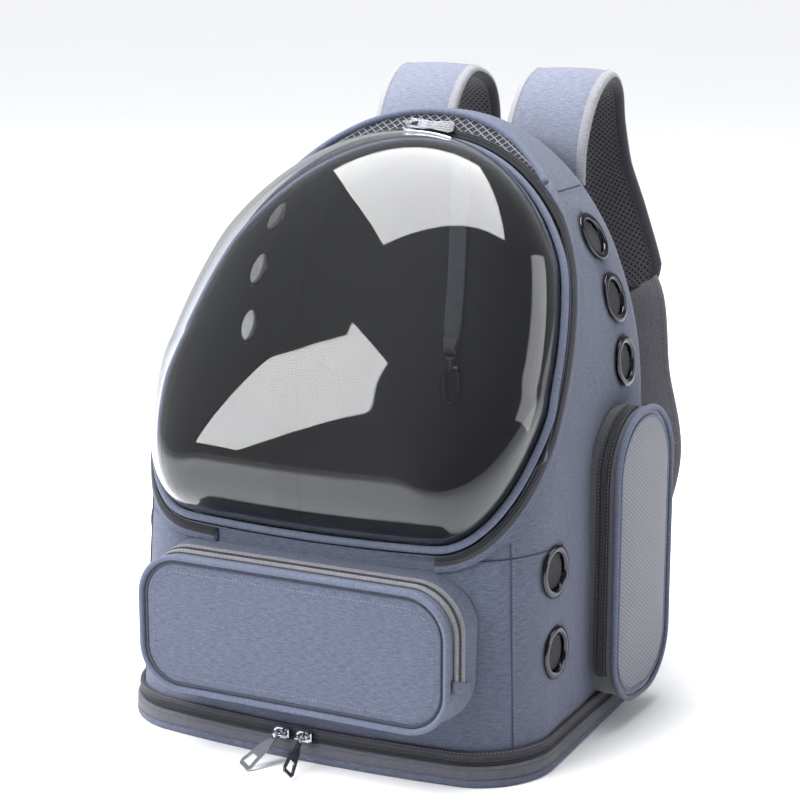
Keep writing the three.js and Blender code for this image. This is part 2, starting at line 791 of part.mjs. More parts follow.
const padBack = bodyBack + padThickness + 2 * fit;
for (const [word, root, lean, reach] of [
  ['left', strapLeft, -strapLean, strapReachLeft],
  ['right', strapRight, strapLean, strapReachRight],
]) {
  const route = strapRows.map(({ out, back, up, width, thick }) => ({
    at: vec(
      root + lean * out,
      padBack + 0.5 * strapThickness * thick + reach * back,
      strapRootHeight + strapRise * up,
    ),
    width: strapWidth * width,
    thick: strapThickness * thick,
  }));
  add(`shoulder_strap_${word}`, band(route, 0), fabric);
  const tip = route[route.length - 1].at;
  const top = tip.z - 2 * fit;
  const webbing = webbingRows.map(({ out, back, up, width }) => ({
    at: vec(root + lean * out, padBack + 0.5 * webbingThickness + reach * back, lerp(top, webbingFoot, up)),
    width: webbingWidth * width,
    thick: webbingThickness,
  }));
  add(`strap_webbing_${word}`, band(webbing, 0), greyCloth);
}

// Zip sliders: a plate on the coil with a bridge along it, and a cast pull on the bridge.
// In the slider's own frame the zip runs along X and the face looks along +Z.

const scaled = (shares, x, y) => shares.map(([a, b]) => new THREE.Vector2(a * x, b * y));

function sliderGeometry() {
  const outline = new THREE.Shape(scaled([
    [-1, -0.55], [-0.5, -1], [0.55, -1], [1, -0.7], [1, 0.7], [0.55, 1], [-0.5, 1], [-1, 0.55],
  ], 0.5 * sliderLength, 0.5 * sliderWidth));
  const plate = solid(new THREE.ExtrudeGeometry(outline, {
    depth: sliderHeight - 2 * sliderBevel,
    bevelThickness: sliderBevel,
    bevelSize: sliderBevel,
    bevelOffset: -sliderBevel,
    bevelSegments: 1,
  }).translate(0, 0, sliderBevel));
  const top = sliderHeight + bridgeRise;
  const foot = sliderHeight - sliderBevel;
  const arch = [
    vec(-bridgeReach, 0, foot),
    vec(-bridgeReach, 0, top - bridgeRadius),
    vec(bridgeRadius - bridgeReach, 0, top),
    vec(bridgeReach - bridgeRadius, 0, top),
    vec(bridgeReach, 0, top - bridgeRadius),
    vec(bridgeReach, 0, foot),
  ];
  return geometryOf(plate.add(solid(tube(arch, bridgeRadius, tubeSides, false, vec(0, 1, 0)))));
}

// A cast tab with its eye at the origin, lying along -Y. The eye's hole runs along X, and the
// tab is twisted on its length against the eye.
function hangingPull(twist) {
  const across = (radius, length) =>
    solid(new THREE.CylinderGeometry(radius, radius, length, ventSides).rotateZ(Math.PI / 2));
  const tab = new THREE.Shape(scaled([
    [-0.22, -0.09], [0.22, -0.09], [0.22, -0.2], [0.36, -0.34], [0.5, -0.9], [0.36, -1],
    [-0.36, -1], [-0.5, -0.9], [-0.36, -0.34], [-0.22, -0.2],
  ], pullWidth, pullLength));
  const window = new THREE.Shape(scaled([
    [-0.31, -0.9], [0.31, -0.9], [0.22, -0.64], [-0.22, -0.64],
  ], pullWidth, pullLength));
  const slab = (outline, depth) => solid(new THREE.ExtrudeGeometry(outline, { depth, bevelEnabled: false })
    .translate(0, 0, -0.5 * depth)).rotate([0, THREE.MathUtils.radToDeg(twist), 0]);
  const plate = slab(tab, pullThickness).subtract(slab(window, 2 * pullThickness));
  const ring = across(pullEyeRadius, pullThickness);
  return geometryOf(plate.add(ring).subtract(across(pullEyeHole, 2 * pullWidth)));
}

// A flat tab whose own cross bar turns under the bridge: the bar lies along Y, the tab along +X.
function lyingPull() {
  const half = 0.5 * pullThickness;
  const slot = pullEyeHole;
  const outline = new THREE.Shape([
    new THREE.Vector2(-half, -0.4 * pullWidth),
    ...scaled([
      [0.3, -0.4], [0.46, -0.3], [0.9, -0.5], [1, -0.36], [1, 0.36], [0.9, 0.5], [0.46, 0.3], [0.3, 0.4],
    ], windowPullLength, pullWidth),
    new THREE.Vector2(-half, 0.4 * pullWidth),
  ]);
  outline.holes.push(new THREE.Path(scaled([
    [half / slot, -1], [3, -1], [3, 1], [half / slot, 1],
  ], slot, slot)));
  const slab = new THREE.ExtrudeGeometry(outline, { depth: pullThickness, bevelEnabled: false });
  return slab.translate(0, 0, -half);
}

const zipLevel = 0.5 * (bandFoot + bandHeight);
const zipFace = frontPoint(0, zipLevel).y - zipProud - 2 * fit;

for (const [word, side, swing, twist] of [
  ['left', -1, leftPullSwing, leftPullTwist],
  ['right', 1, rightPullSwing, rightPullTwist],
]) {
  const seat = new THREE.Group();
  seat.position.set(baseSliderOffset + side * baseSliderGap / 2, zipFace, zipLevel);
  seat.rotation.x = Math.PI / 2;
  group.add(seat);
  add(`base_slider_${word}`, sliderGeometry(), chrome, seat);
  const hinge = new THREE.Group();
  hinge.position.set(0, 0, sliderHeight + bridgeRise);
  const thick = 0.5 * (pullThickness * Math.cos(twist) + pullWidth * Math.sin(twist));
  const drop = zipLevel - pullFootGap;
  const hang = pullLength * Math.cos(swing);
  hinge.rotation.x = Math.asin(drop / Math.hypot(hang, thick)) - Math.atan2(thick, hang) - Math.PI / 2;
  seat.add(hinge);
  add(`base_pull_${word}`, hangingPull(twist), chrome, hinge).rotation.z = swing;
}

const windowSeat = new THREE.Group();
windowSeat.applyMatrix4(new THREE.Matrix4().makeBasis(vec(1, 0, 0), slopeUp, slopeOut).setPosition(
  onSlope(windowSliderOffset, windowHeight + 0.5 * windowZipWidth, windowZipThickness + 2 * fit)));
group.add(windowSeat);
add('window_slider', sliderGeometry(), chrome, windowSeat);
const windowPull = add('window_pull', lyingPull(), chrome, windowSeat);
windowPull.position.set(
  bridgeReach - 2 * bridgeRadius - pullThickness, 0, sliderHeight + 0.5 * (bridgeRise - bridgeRadius));
windowPull.rotation.y = windowPullRest;

// The leash on the back wall: a flat webbing that narrows into a sewn loop for the hook's eye.

const leashBack = bodyBack - wall - fit;
const loopRadius = leashLoopHole + leashThickness;
const loopWidth = eyeWidth - 2 * eyeBar - 4 * fit;

function leash() {
  const middle = leashBack - loopRadius;
  const rows = [
    { z: leashTop, x: leashShift, wide: leashWidth, y: leashBack - 0.5 * leashThickness },
    { z: lerp(leashEnd, leashTop, 0.5), x: lerp(hookShift, leashShift, 0.5), wide: leashWidth,
      y: leashBack - 0.5 * leashThickness },
    { z: leashEnd + 3 * loopRadius, x: hookShift, wide: loopWidth, y: leashBack - 0.5 * leashThickness },
    { z: leashEnd + 0.8 * loopRadius, x: hookShift, wide: loopWidth, y: middle },
  ];
  const strip = solid(loft(rows.map(({ z, x, wide, y }) => [[-1, -1], [1, -1], [1, 1], [-1, 1]].map(
    ([a, b]) => vec(x + 0.5 * a * wide, y + 0.5 * b * leashThickness, z)))));
  const turned = (radius, width) => solid(
    new THREE.CylinderGeometry(radius, radius, width, ventSides)
      .rotateZ(Math.PI / 2).translate(hookShift, middle, leashEnd));
  return geometryOf(strip.add(turned(loopRadius, loopWidth)).subtract(turned(leashLoopHole, 2 * loopWidth)));
}
add('leash', leash(), darkTape);

// The snap hook hangs from the loop: in its own frame the eye's upper bar passes the origin.

function snapHook() {
  const half = 0.5 * eyeWidth;
  const bend = 2 * eyeBar;
  const eye = tube([
    vec(-half + bend, 0, 0), vec(half - bend, 0, 0), vec(half, 0, -bend), vec(half - bend, 0, -eyeHeight),
    vec(-half + bend, 0, -eyeHeight), vec(-half, 0, -bend),
  ], eyeBar, tubeSides, true, vec(0, 1, 0));
  const barrel = new THREE.CylinderGeometry(barrelRadius, barrelRadius, barrelLength, ventSides)
    .rotateX(Math.PI / 2).translate(0, 0, -eyeHeight - 0.5 * barrelLength);
  const neck = -eyeHeight - barrelLength;
  const path = [
    [0.3, 0.12], [-0.75, 0], [-1, -0.2], [-1, -0.7], [-0.7, -0.92], [0, -1], [0.7, -0.9],
    [1, -0.72], [1, -hookMouth],
  ].map(([x, z]) => vec(x * hookReach, 0, neck + z * hookDrop));
  const shoulder = [vec(0, 0, neck + hookBar), vec(hookReach + 0.5 * gateBar, 0, neck + hookBar)];
  const bars = [path, shoulder].map((line) => solid(tube(line, hookBar, tubeSides, false, vec(0, 1, 0))));
  return geometryOf(joined([solid(eye), solid(barrel), ...bars]));
}

// The gate closes the hook's mouth from under the shoulder down to the hook's tip. It is drawn
// about its pivot, a bar's radius below its rounded end.
function hookGate() {
  const foot = gateBar + 2 * fit - hookMouth * hookDrop;
  const profile = [[0, 1], [0.35, 1], [1, 0.35], [1, foot / gateBar], [0, foot / gateBar]];
  return geometryOf(solid(new THREE.LatheGeometry(scaled(profile.reverse(), gateBar, gateBar), ventSides)
    .rotateX(Math.PI / 2)));
}

const hookSeat = new THREE.Group();
hookSeat.position.set(hookShift, leashBack - loopRadius, leashEnd);
group.add(hookSeat);
add('snap_hook', snapHook(), blackPlastic, hookSeat);
add('hook_gate', hookGate(), blackPlastic, hookSeat)
  .position.set(hookReach, 0, -eyeHeight - barrelLength - fit - gateBar);

export default group;
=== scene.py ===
# %% [markdown]
# # A pet carrier backpack with a clear dome
# The hard parts and the measured frame come from the CAD model. This script dresses that
# frame: cloth, piping, zips, mesh, eyelets, padding and the clear dome are modelled here.
# Everything is worked out in millimetres and turned into metres when a mesh is made.

# %% Load the frame
import math
import bmesh
import bpy
import numpy as np
from mathutils import Matrix, Vector, noise as perlin


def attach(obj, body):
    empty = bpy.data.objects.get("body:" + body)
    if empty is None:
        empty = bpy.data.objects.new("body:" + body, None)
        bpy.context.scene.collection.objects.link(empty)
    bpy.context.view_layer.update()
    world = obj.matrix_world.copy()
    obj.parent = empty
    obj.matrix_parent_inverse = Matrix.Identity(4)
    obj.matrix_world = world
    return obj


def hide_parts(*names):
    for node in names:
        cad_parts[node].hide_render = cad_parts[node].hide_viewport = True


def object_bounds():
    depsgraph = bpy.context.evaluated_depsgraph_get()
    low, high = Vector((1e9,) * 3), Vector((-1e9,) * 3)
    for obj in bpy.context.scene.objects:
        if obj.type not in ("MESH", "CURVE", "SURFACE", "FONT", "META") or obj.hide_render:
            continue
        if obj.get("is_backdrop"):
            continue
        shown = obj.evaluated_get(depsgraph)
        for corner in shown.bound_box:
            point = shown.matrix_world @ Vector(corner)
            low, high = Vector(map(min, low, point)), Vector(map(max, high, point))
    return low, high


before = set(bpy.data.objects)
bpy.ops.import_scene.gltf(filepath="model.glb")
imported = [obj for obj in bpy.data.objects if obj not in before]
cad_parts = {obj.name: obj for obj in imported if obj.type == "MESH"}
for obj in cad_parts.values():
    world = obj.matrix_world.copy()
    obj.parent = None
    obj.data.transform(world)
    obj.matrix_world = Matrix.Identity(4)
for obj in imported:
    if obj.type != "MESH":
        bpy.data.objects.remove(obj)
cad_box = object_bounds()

MM = 0.001
SIDES = (("left", -1), ("right", 1))


def add_object(name, data):
    obj = bpy.data.objects.new(name, data)
    bpy.context.scene.collection.objects.link(obj)
    return obj


# %% [markdown]
# The camera repeats the photograph's: a long lens, a little to the carrier's right and a
# little above it. It is made first, so that every later step can be looked at through it.

# %% Camera
CAMERA_TARGET = Vector((0.0005, 0.015, 0.2258))
CAMERA_AZIMUTH = math.radians(26.32)
CAMERA_ELEVATION = math.radians(12.96)
CAMERA_DISTANCE = 1.507
SENSOR = 36.0
FOCAL_SHARE = 2036 / 800

camera_data = bpy.data.cameras.new("studio_camera")
camera_data.sensor_width = SENSOR
camera_data.lens = FOCAL_SHARE * SENSOR
camera = add_object("studio_camera", camera_data)
towards = Vector((
    math.sin(CAMERA_AZIMUTH) * math.cos(CAMERA_ELEVATION),
    -math.cos(CAMERA_AZIMUTH) * math.cos(CAMERA_ELEVATION),
    math.sin(CAMERA_ELEVATION),
))
camera.location = CAMERA_TARGET + CAMERA_DISTANCE * towards
camera.rotation_euler = (-towards).to_track_quat("-Z", "Y").to_euler()
bpy.context.scene.camera = camera
print("camera at", [round(v, 3) for v in camera.location])

# %% [markdown]
# ## The form
# The cabin is an arch seen from the front and a bowed, rounded box seen from above. The same
# rules as in the CAD model give every point of it, so cloth made here lies on the frame.

# %% The cabin's measures
BODY_HALF, BODY_HEIGHT, SPRING, ARCH_POWER = 161.0, 435.0, 215.0, 2.15
BODY_FRONT, BODY_BACK, FRONT_TAPER, TAPER_BACK = 127.0, 112.0, 8.0, 60.0
FOOT_FORWARD, FOOT_BOW, SILL_BOW = 12.0, 14.0, 5.0
FOOT_CORNER, SILL_CORNER, BACK_ROUNDING = 46.0, 60.0, 20.0
WALL, FIT, BAND_FOOT, CORNER_REACH = 3.0, 0.3, 15.3, 1.4
TILT, SILL, WINDOW_HEIGHT = math.radians(36.3), 155.0, 324.0
CROWN_RISE, CROWN_WIDTH = 200.0, 158.0
SLOPE_UP = np.array([0, math.sin(TILT), math.cos(TILT)])
SLOPE_OUT = np.array([0, -math.cos(TILT), math.sin(TILT)])
SILL_POINT = np.array([0, -BODY_FRONT, SILL])


def arch_half(z):
    share = np.clip((z - SPRING) / (BODY_HEIGHT - SPRING), 0, 1)
    return BODY_HALF * (1 - share**ARCH_POWER) ** (1 / ARCH_POWER)


def taper(y, z):
    forward = np.clip((TAPER_BACK - y) / (TAPER_BACK + BODY_FRONT), 0, 1.2)
    return 1 - (FRONT_TAPER / BODY_HALF) * forward * np.clip(z / SPRING, 0, 1)


def front_level(z):
    """The front's corner radius, bow, line and half width at a level."""
    share = np.clip(z / SILL, 0, CORNER_REACH)
    radius = FOOT_CORNER + (SILL_CORNER - FOOT_CORNER) * share
    bow = FOOT_BOW + (SILL_BOW - FOOT_BOW) * np.minimum(share, 1)
    line = bow - (BODY_FRONT + FOOT_FORWARD * (1 - np.minimum(share, 1)))
    return radius, bow, line, BODY_HALF * taper(line + radius, z)


def front_point(share, z, grow=0.0):
    """A point on the front's right half: share 0 is the middle, 1 the corner's end."""
    radius, bow, line, half = front_level(z)
    turn = min(max(2 * share - 1, 0), 1) * math.pi / 2
    x = (half - radius) * min(2 * share, 1) + radius * math.sin(turn)
    y = line + radius * (1 - math.cos(turn)) - bow * (1 - (x / half) ** 2)
    return np.array([x + grow * math.sin(turn), y - grow * math.cos(turn)])


def slope_y(z):
    return -BODY_FRONT + (z - SILL) * math.tan(TILT)


def on_slope(u, v, w):
    return np.array([u, 0, 0]) + SILL_POINT + v * SLOPE_UP + w * SLOPE_OUT


print("roof at", BODY_HEIGHT, "mm; window tilted", round(math.degrees(TILT), 1), "degrees")

# %% [markdown]
# A finished mesh needs faces, real-size texture coordinates and a rule for the body it rides
# on. These helpers make all three, so that later cells can be about shapes.

# %% Mesh helpers
CARRIER = "carrier"


def finish_piece(obj, slot, replaces=()):
    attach(obj, CARRIER)
    if replaces:
        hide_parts(*replaces)
    return obj


def make_mesh(name, points, faces, uvs=None, materials=(), indices=None):
    mesh = bpy.data.meshes.new(name)
    mesh.from_pydata([tuple(p) for p in np.asarray(points) * MM], [], faces)
    if uvs is not None:
        layer = mesh.uv_layers.new(name="UVMap")
        layer.data.foreach_set("uv", (np.asarray(uvs, dtype=float) * MM).ravel())
    for material in materials:
        mesh.materials.append(material)
    if indices is not None:
        mesh.polygons.foreach_set("material_index", indices)
    mesh.polygons.foreach_set("use_smooth", [True] * len(mesh.polygons))
    return add_object(name, mesh)


def tidy_mesh(obj, merge=0.00005, recalc=True):
    """Merges what coincides, drops empty faces and turns all faces outwards."""
    work = bmesh.new()
    work.from_mesh(obj.data)
    bmesh.ops.remove_doubles(work, verts=work.verts, dist=merge)
    bmesh.ops.dissolve_degenerate(work, dist=merge / 5, edges=work.edges)
    if recalc:
        bmesh.ops.recalc_face_normals(work, faces=work.faces)
    work.to_mesh(obj.data)
    work.free()
    return obj


def grid(rows, close_rows=False, close_columns=False):
    """Faces and real-size texture coordinates for an array of points, rows by columns."""
    rows = np.asarray(rows, dtype=float)
    count, width = rows.shape[:2]
    down = np.linalg.norm(np.roll(rows, -1, 0) - rows, axis=2).mean(1)
    across = np.linalg.norm(np.roll(rows, -1, 1) - rows, axis=2).mean(0)
    v = np.concatenate([[0], np.cumsum(down)])
    u = np.concatenate([[0], np.cumsum(across)])
    faces, uvs = [], []
    for i in range(count if close_rows else count - 1):
        for j in range(width if close_columns else width - 1):
            k, m = (i + 1) % count, (j + 1) % width
            faces.append((i * width + j, i * width + m, k * width + m, k * width + j))
            uvs += [(u[j], v[i]), (u[j + 1], v[i]), (u[j + 1], v[i + 1]), (u[j], v[i + 1])]
    return rows.reshape(-1, 3), faces, uvs


def flat_uvs(obj):
    """Real-size texture coordinates, each face seen along the axis that it faces most."""
    mesh = obj.data
    layer = mesh.uv_layers.get("UVMap") or mesh.uv_layers.new(name="UVMap")
    for face in mesh.polygons:
        axis = max(range(3), key=lambda k: abs(face.normal[k]))
        first, second = ((1, 2), (0, 2), (0, 1))[axis]
        for k in face.loop_indices:
            place = mesh.vertices[mesh.loops[k].vertex_index].co
            layer.data[k].uv = (place[first], place[second])
    return obj


def unit(rows):
    return rows / np.linalg.norm(rows, axis=1)[:, None]


def sweep(name, path, profile, up, materials, closed=True):
    """Carries a closed profile of (up, side) offsets along a path."""
    path, profile = np.asarray(path, dtype=float), np.asarray(profile, dtype=float)
    along = unit(np.roll(path, -1, 0) - np.roll(path, 1, 0) if closed else np.gradient(path, axis=0))
    ups = np.broadcast_to(np.asarray(up, dtype=float), path.shape)
    first = unit(ups - (ups * along).sum(1)[:, None] * along)
    second = np.cross(along, first)
    rows = (path[:, None] + profile[None, :, 0, None] * first[:, None]
            + profile[None, :, 1, None] * second[:, None])
    points, faces, uvs = grid(rows, closed, True)
    if not closed:
        width = len(profile)
        faces += [tuple(range(width)), tuple(range(len(points) - width, len(points)))]
        uvs += [(0, 0)] * (2 * width)
    return tidy_mesh(make_mesh(name, points, faces, uvs, materials))


def circle(radius, sides, squash=1.0):
    turn = np.arange(sides) / sides * 2 * math.pi
    return np.stack([radius * squash * np.cos(turn), radius * np.sin(turn)], -1)


def resampled(path, count, closed=False):
    """The same path with evenly spaced points."""
    path = np.asarray(path, dtype=float)
    whole = np.vstack([path, path[:1]]) if closed else path
    travelled = np.concatenate([[0], np.cumsum(np.linalg.norm(np.diff(whole, axis=0), axis=1))])
    goals = np.linspace(0, travelled[-1], count + 1 if closed else count)
    even = np.stack([np.interp(goals, travelled, whole[:, k]) for k in range(whole.shape[1])], -1)
    return even[:-1] if closed else even


print("mesh helpers ready")

# %% [markdown]
# ## Materials
# Polyester cloth of this kind is a plain weave of yarns dyed in two shades, so it reads as a
# fine streaky mix. One shader group draws threads, their height and the streaks from the
# texture coordinates, which are in metres, so every cloth piece has the same real weave.

# %% Shader group helpers
def new_group(name, inputs, outputs):
    group = bpy.data.node_groups.new(name, "ShaderNodeTree")
    for label, kind, value in inputs:
        socket = group.interface.new_socket(label, in_out="INPUT", socket_type=kind)
        if value is not None:
            socket.default_value = value
    for label, kind in outputs:
        group.interface.new_socket(label, in_out="OUTPUT", socket_type=kind)
    return group, group.nodes.new("NodeGroupInput"), group.nodes.new("NodeGroupOutput")


def connect(tree, source, target):
    if hasattr(source, "is_linked"):
        tree.links.new(source, target)
    else:
        target.default_value = source


def add_node(tree, kind, values, output=0, **settings):
    """A node with its settings and inputs in place; gives one of its outputs."""
    node = tree.nodes.new(kind)
    for key, value in settings.items():
        setattr(node, key, value)
    for label, value in values.items():
        connect(tree, value, node.inputs[label])
    return node.outputs[output]


def maths(tree, operation, *values):
    return add_node(tree, "ShaderNodeMath", dict(enumerate(values)), operation=operation)


def mixed(tree, factor, first, second):
    return add_node(tree, "ShaderNodeMix", {0: factor, 6: first, 7: second}, 2, data_type="RGBA")


def noise(tree, vector, scale, detail=2.0, rough=0.5):
    values = {"Vector": vector, "Scale": scale, "Detail": detail, "Roughness": rough}
    return add_node(tree, "ShaderNodeTexNoise", values, "Fac")


def stretched(tree, vector, scale, turn=0.0):
    values = {"Vector": vector, "Scale": scale, "Rotation": (0, 0, turn)}
    return add_node(tree, "ShaderNodeMapping", values)


def smooth_step(tree, value, low, high):
    values = {0: value, 1: low, 2: high}
    return add_node(tree, "ShaderNodeMapRange", values, interpolation_type="SMOOTHSTEP")


def parts_of(tree, vector):
    """The x, y and z of a vector."""
    node = tree.nodes.new("ShaderNodeSeparateXYZ")
    tree.links.new(vector, node.inputs[0])
    return node.outputs


def ridges(tree, value):
    """Rounded ridges, one to each whole number."""
    return maths(tree, "ABSOLUTE", maths(tree, "SINE", maths(tree, "MULTIPLY", value, math.pi)))


print("shader helpers ready")

# %% [markdown]
# A plain weave passes each thread over one and under the next. Its height comes from rounded
# ridges both ways on a chequer of crossings, and the streaks of mixed yarn from noise drawn
# out along the threads. A group holds it, because every cloth here needs the same weave.

# %% The weave group
def build_weave():
    """Threads over and under each other; Streak is the slow mix of the two yarn colours."""
    group, given, out = new_group(
        "plain_weave",
        [("Vector", "NodeSocketVector", None), ("Pitch", "NodeSocketFloat", 0.0008)],
        [("Height", "NodeSocketFloat"), ("Streak", "NodeSocketFloat"), ("Cloud", "NodeSocketFloat")])
    vector = given.outputs["Vector"]
    across, along = [maths(group, "DIVIDE", part, given.outputs["Pitch"])
                     for part in parts_of(group, vector)[:2]]
    cells = maths(group, "ADD", maths(group, "FLOOR", across), maths(group, "FLOOR", along))
    over = maths(group, "PINGPONG", cells, 1.0)
    under = maths(group, "SUBTRACT", 1.0, over)
    warp = maths(group, "MULTIPLY", ridges(group, across), over)
    weft = maths(group, "MULTIPLY", ridges(group, along), under)
    group.links.new(maths(group, "ADD", warp, weft), out.inputs["Height"])
    fine = noise(group, stretched(group, vector, (1.0, 0.3, 1.0)), 1500, 3.0, 0.7)
    level = noise(group, stretched(group, vector, (0.13, 1.0, 1.0)), 1300, 3.0, 0.7)
    first = maths(group, "MULTIPLY", fine, 0.35)
    streak = maths(group, "ADD", first, maths(group, "MULTIPLY", level, 0.65))
    group.links.new(smooth_step(group, streak, 0.34, 0.66), out.inputs["Streak"])
    group.links.new(noise(group, vector, 18, 3.0), out.inputs["Cloud"])
    return group


WEAVE = build_weave()
print("shader group:", WEAVE.name)

# %% [markdown]
# Seams and handling leave soft marks: a little dust and paler thread on raised places. The
# wear group gives that as one mask from a slow noise, for any material to mix in.

# %% The wear group
def build_wear():
    group, given, out = new_group(
        "handling_wear", [("Vector", "NodeSocketVector", None), ("Amount", "NodeSocketFloat", 0.3)],
        [("Mask", "NodeSocketFloat")])
    patches = smooth_step(group, noise(group, given.outputs["Vector"], 22, 5.0, 0.7), 0.5, 0.8)
    specks = smooth_step(group, noise(group, given.outputs["Vector"], 420, 2.0), 0.45, 0.75)
    both = maths(group, "MULTIPLY", patches, specks)
    group.links.new(maths(group, "MULTIPLY", both, given.outputs["Amount"]), out.inputs["Mask"])
    return group


WEAR = build_wear()
print("shader group:", WEAR.name)

# %% [markdown]
# Twelve cloths come from the one weave: body cloth, straps, piping, bindings, tapes and webbing. Each has its
# own two yarn colours, thread pitch and sheen, with slow clouds, wear and soft folds on top, so that none of
# them is one even colour. The straps' cloth is the body cloth painted paler: painted light for the overhead
# light on their upward faces.

# %% Cloth materials
def new_material(name, colour):
    material = bpy.data.materials.new(name)
    material.use_nodes = True
    material.diffuse_color = (*colour, 1)
    tree = material.node_tree
    return material, tree, tree.nodes["Principled BSDF"], tree.nodes.new("ShaderNodeTexCoord")


def place_group(tree, group, **values):
    node = tree.nodes.new("ShaderNodeGroup")
    node.node_tree = group
    for label, value in values.items():
        connect(tree, value, node.inputs[label])
    return node


def add_bump(tree, shader, height, strength, distance, onto=None):
    bump = tree.nodes.new("ShaderNodeBump")
    bump.inputs["Strength"].default_value = strength
    bump.inputs["Distance"].default_value = distance
    tree.links.new(height, bump.inputs["Height"])
    if onto is not None:
        tree.links.new(onto, bump.inputs["Normal"])
    tree.links.new(bump.outputs[0], shader.inputs["Normal"])
    return bump.outputs[0]


def cloth(name, light, dark, pitch=0.0008, depth=0.0003, sheen=0.35, cloud=0.25, worn=0.35):
    """A woven cloth of two yarn shades, read from the piece's own texture coordinates."""
    material, tree, shader, place = new_material(name, light)
    weave = place_group(tree, WEAVE, Vector=place.outputs["UV"], Pitch=pitch)
    base = mixed(tree, weave.outputs["Streak"], (*dark, 1), (*light, 1))
    # The weave's low places are darkened towards a deeper colour: painted shade in the hollows between
    # threads.
    shade = [0.72 * c for c in dark]
    deep = maths(tree, "MULTIPLY", smooth_step(tree, weave.outputs["Height"], 0.55, 0.0), 0.5)
    base = mixed(tree, deep, base, (*shade, 1))
    clouds = maths(tree, "MULTIPLY", weave.outputs["Cloud"], cloud)
    base = mixed(tree, clouds, base, (*dark, 1))
    wear = place_group(tree, WEAR, Vector=place.outputs["Object"], Amount=worn)
    pale = [min(1.0, 1.35 * c + 0.03) for c in light]
    base = mixed(tree, wear.outputs["Mask"], base, (*pale, 1))
    tree.links.new(base, shader.inputs["Base Color"])
    shader.inputs["Sheen Weight"].default_value = sheen
    shader.inputs["Sheen Roughness"].default_value = 0.45
    shader.inputs["Specular IOR Level"].default_value = 0.25
    rough = maths(tree, "ADD", 0.78, maths(tree, "MULTIPLY", weave.outputs["Streak"], 0.14))
    tree.links.new(rough, shader.inputs["Roughness"])
    first = add_bump(tree, shader, weave.outputs["Height"], 0.55, depth)
    folds = noise(tree, place.outputs["Object"], 16, 4.0, 0.6)
    add_bump(tree, shader, folds, 0.35, 0.004, first)
    return material


heather = cloth("heather_cloth", (0.148, 0.165, 0.232), (0.062, 0.072, 0.112), sheen=0.16)
# Strap cloth: the body's heather painted paler, painted light where the straps face up to the overhead light.
strap_cloth_painted_lighter = cloth("strap_cloth_painted_lighter", (0.25, 0.27, 0.345), (0.125, 0.138, 0.19), sheen=0.2)
piping_cloth = cloth("piping_cloth", (0.165, 0.188, 0.262), (0.08, 0.095, 0.145), pitch=0.0006, sheen=0.16)
# A near-black cloth for the strands in seams and the front pocket's shadow line: painted shade.
seam_shade_cloth = cloth("seam_shadow", (0.07, 0.078, 0.11), (0.04, 0.045, 0.065), pitch=0.0006, sheen=0.1)
binding = cloth("pale_binding", (0.36, 0.365, 0.39), (0.23, 0.235, 0.26), pitch=0.0009, cloud=0.1, sheen=0.2)
dark_binding = cloth("dark_binding", (0.06, 0.061, 0.072), (0.03, 0.031, 0.038), pitch=0.0009, sheen=0.15)
grey_web = cloth("grey_webbing", (0.23, 0.228, 0.25), (0.12, 0.12, 0.135), pitch=0.0016, depth=0.0005)
leash_web = cloth("leash_webbing", (0.14, 0.145, 0.16), (0.08, 0.085, 0.095), pitch=0.0012, worn=0.1)
grey_gusset = cloth("grey_gusset", (0.125, 0.13, 0.15), (0.065, 0.07, 0.082))
base_tape = cloth("base_tape", (0.125, 0.128, 0.15), (0.07, 0.073, 0.09), pitch=0.0009, sheen=0.2)
dark_tape = cloth("zip_tape", (0.035, 0.037, 0.044), (0.016, 0.017, 0.021), pitch=0.0007, sheen=0.1)
lining = cloth("dark_lining", (0.040, 0.041, 0.045), (0.025, 0.026, 0.029), sheen=0.0, worn=0.05)
print("cloth materials: 12")

# %% [markdown]
# Open knitted mesh is a net of fine holes over darker cloth. The diamond and round holes are
# far smaller than the pieces, so a mask in the material carries them with its own bump.

# %% Knit materials
def knit(name, strand, hole, pitch, turn, strand_share=0.42, depth=0.0006):
    material, tree, shader, place = new_material(name, strand)
    vector = stretched(tree, place.outputs["UV"], (1 / pitch, 1 / pitch, 1), turn)
    cell = maths(tree, "MINIMUM", *[ridges(tree, part) for part in parts_of(tree, vector)[:2]])
    open_part = smooth_step(tree, cell, strand_share, strand_share + 0.22)
    yarn = noise(tree, place.outputs["UV"], 2600, 2.0)
    lit = mixed(tree, yarn, (*[0.6 * c for c in strand], 1), (*strand, 1))
    tree.links.new(mixed(tree, open_part, lit, (*hole, 1)), shader.inputs["Base Color"])
    shader.inputs["Roughness"].default_value = 0.8
    shader.inputs["Sheen Weight"].default_value = 0.25
    height = maths(tree, "SUBTRACT", 1.0, open_part)
    add_bump(tree, shader, height, 0.8, depth)
    return material


air_mesh = knit("air_mesh", (0.135, 0.13, 0.15), (0.012, 0.012, 0.014), 0.0032, math.pi / 4)
twill_face = knit("pocket_twill", (0.27, 0.272, 0.315), (0.10, 0.105, 0.13), 0.0026, 0.62, 0.26, 0.0004)
vent_net = knit("vent_net", (0.05, 0.05, 0.055), (0.008, 0.008, 0.009), 0.0026, math.pi / 4)
print("knit materials: 3")

# %% [markdown]
# The sliders and pulls are plated zinc, the eyelets dark nickel, the hook, coils and threads
# moulded or spun plastic. A picture could carry their stains, but small noises in roughness
# and colour hold at any distance and need no image.

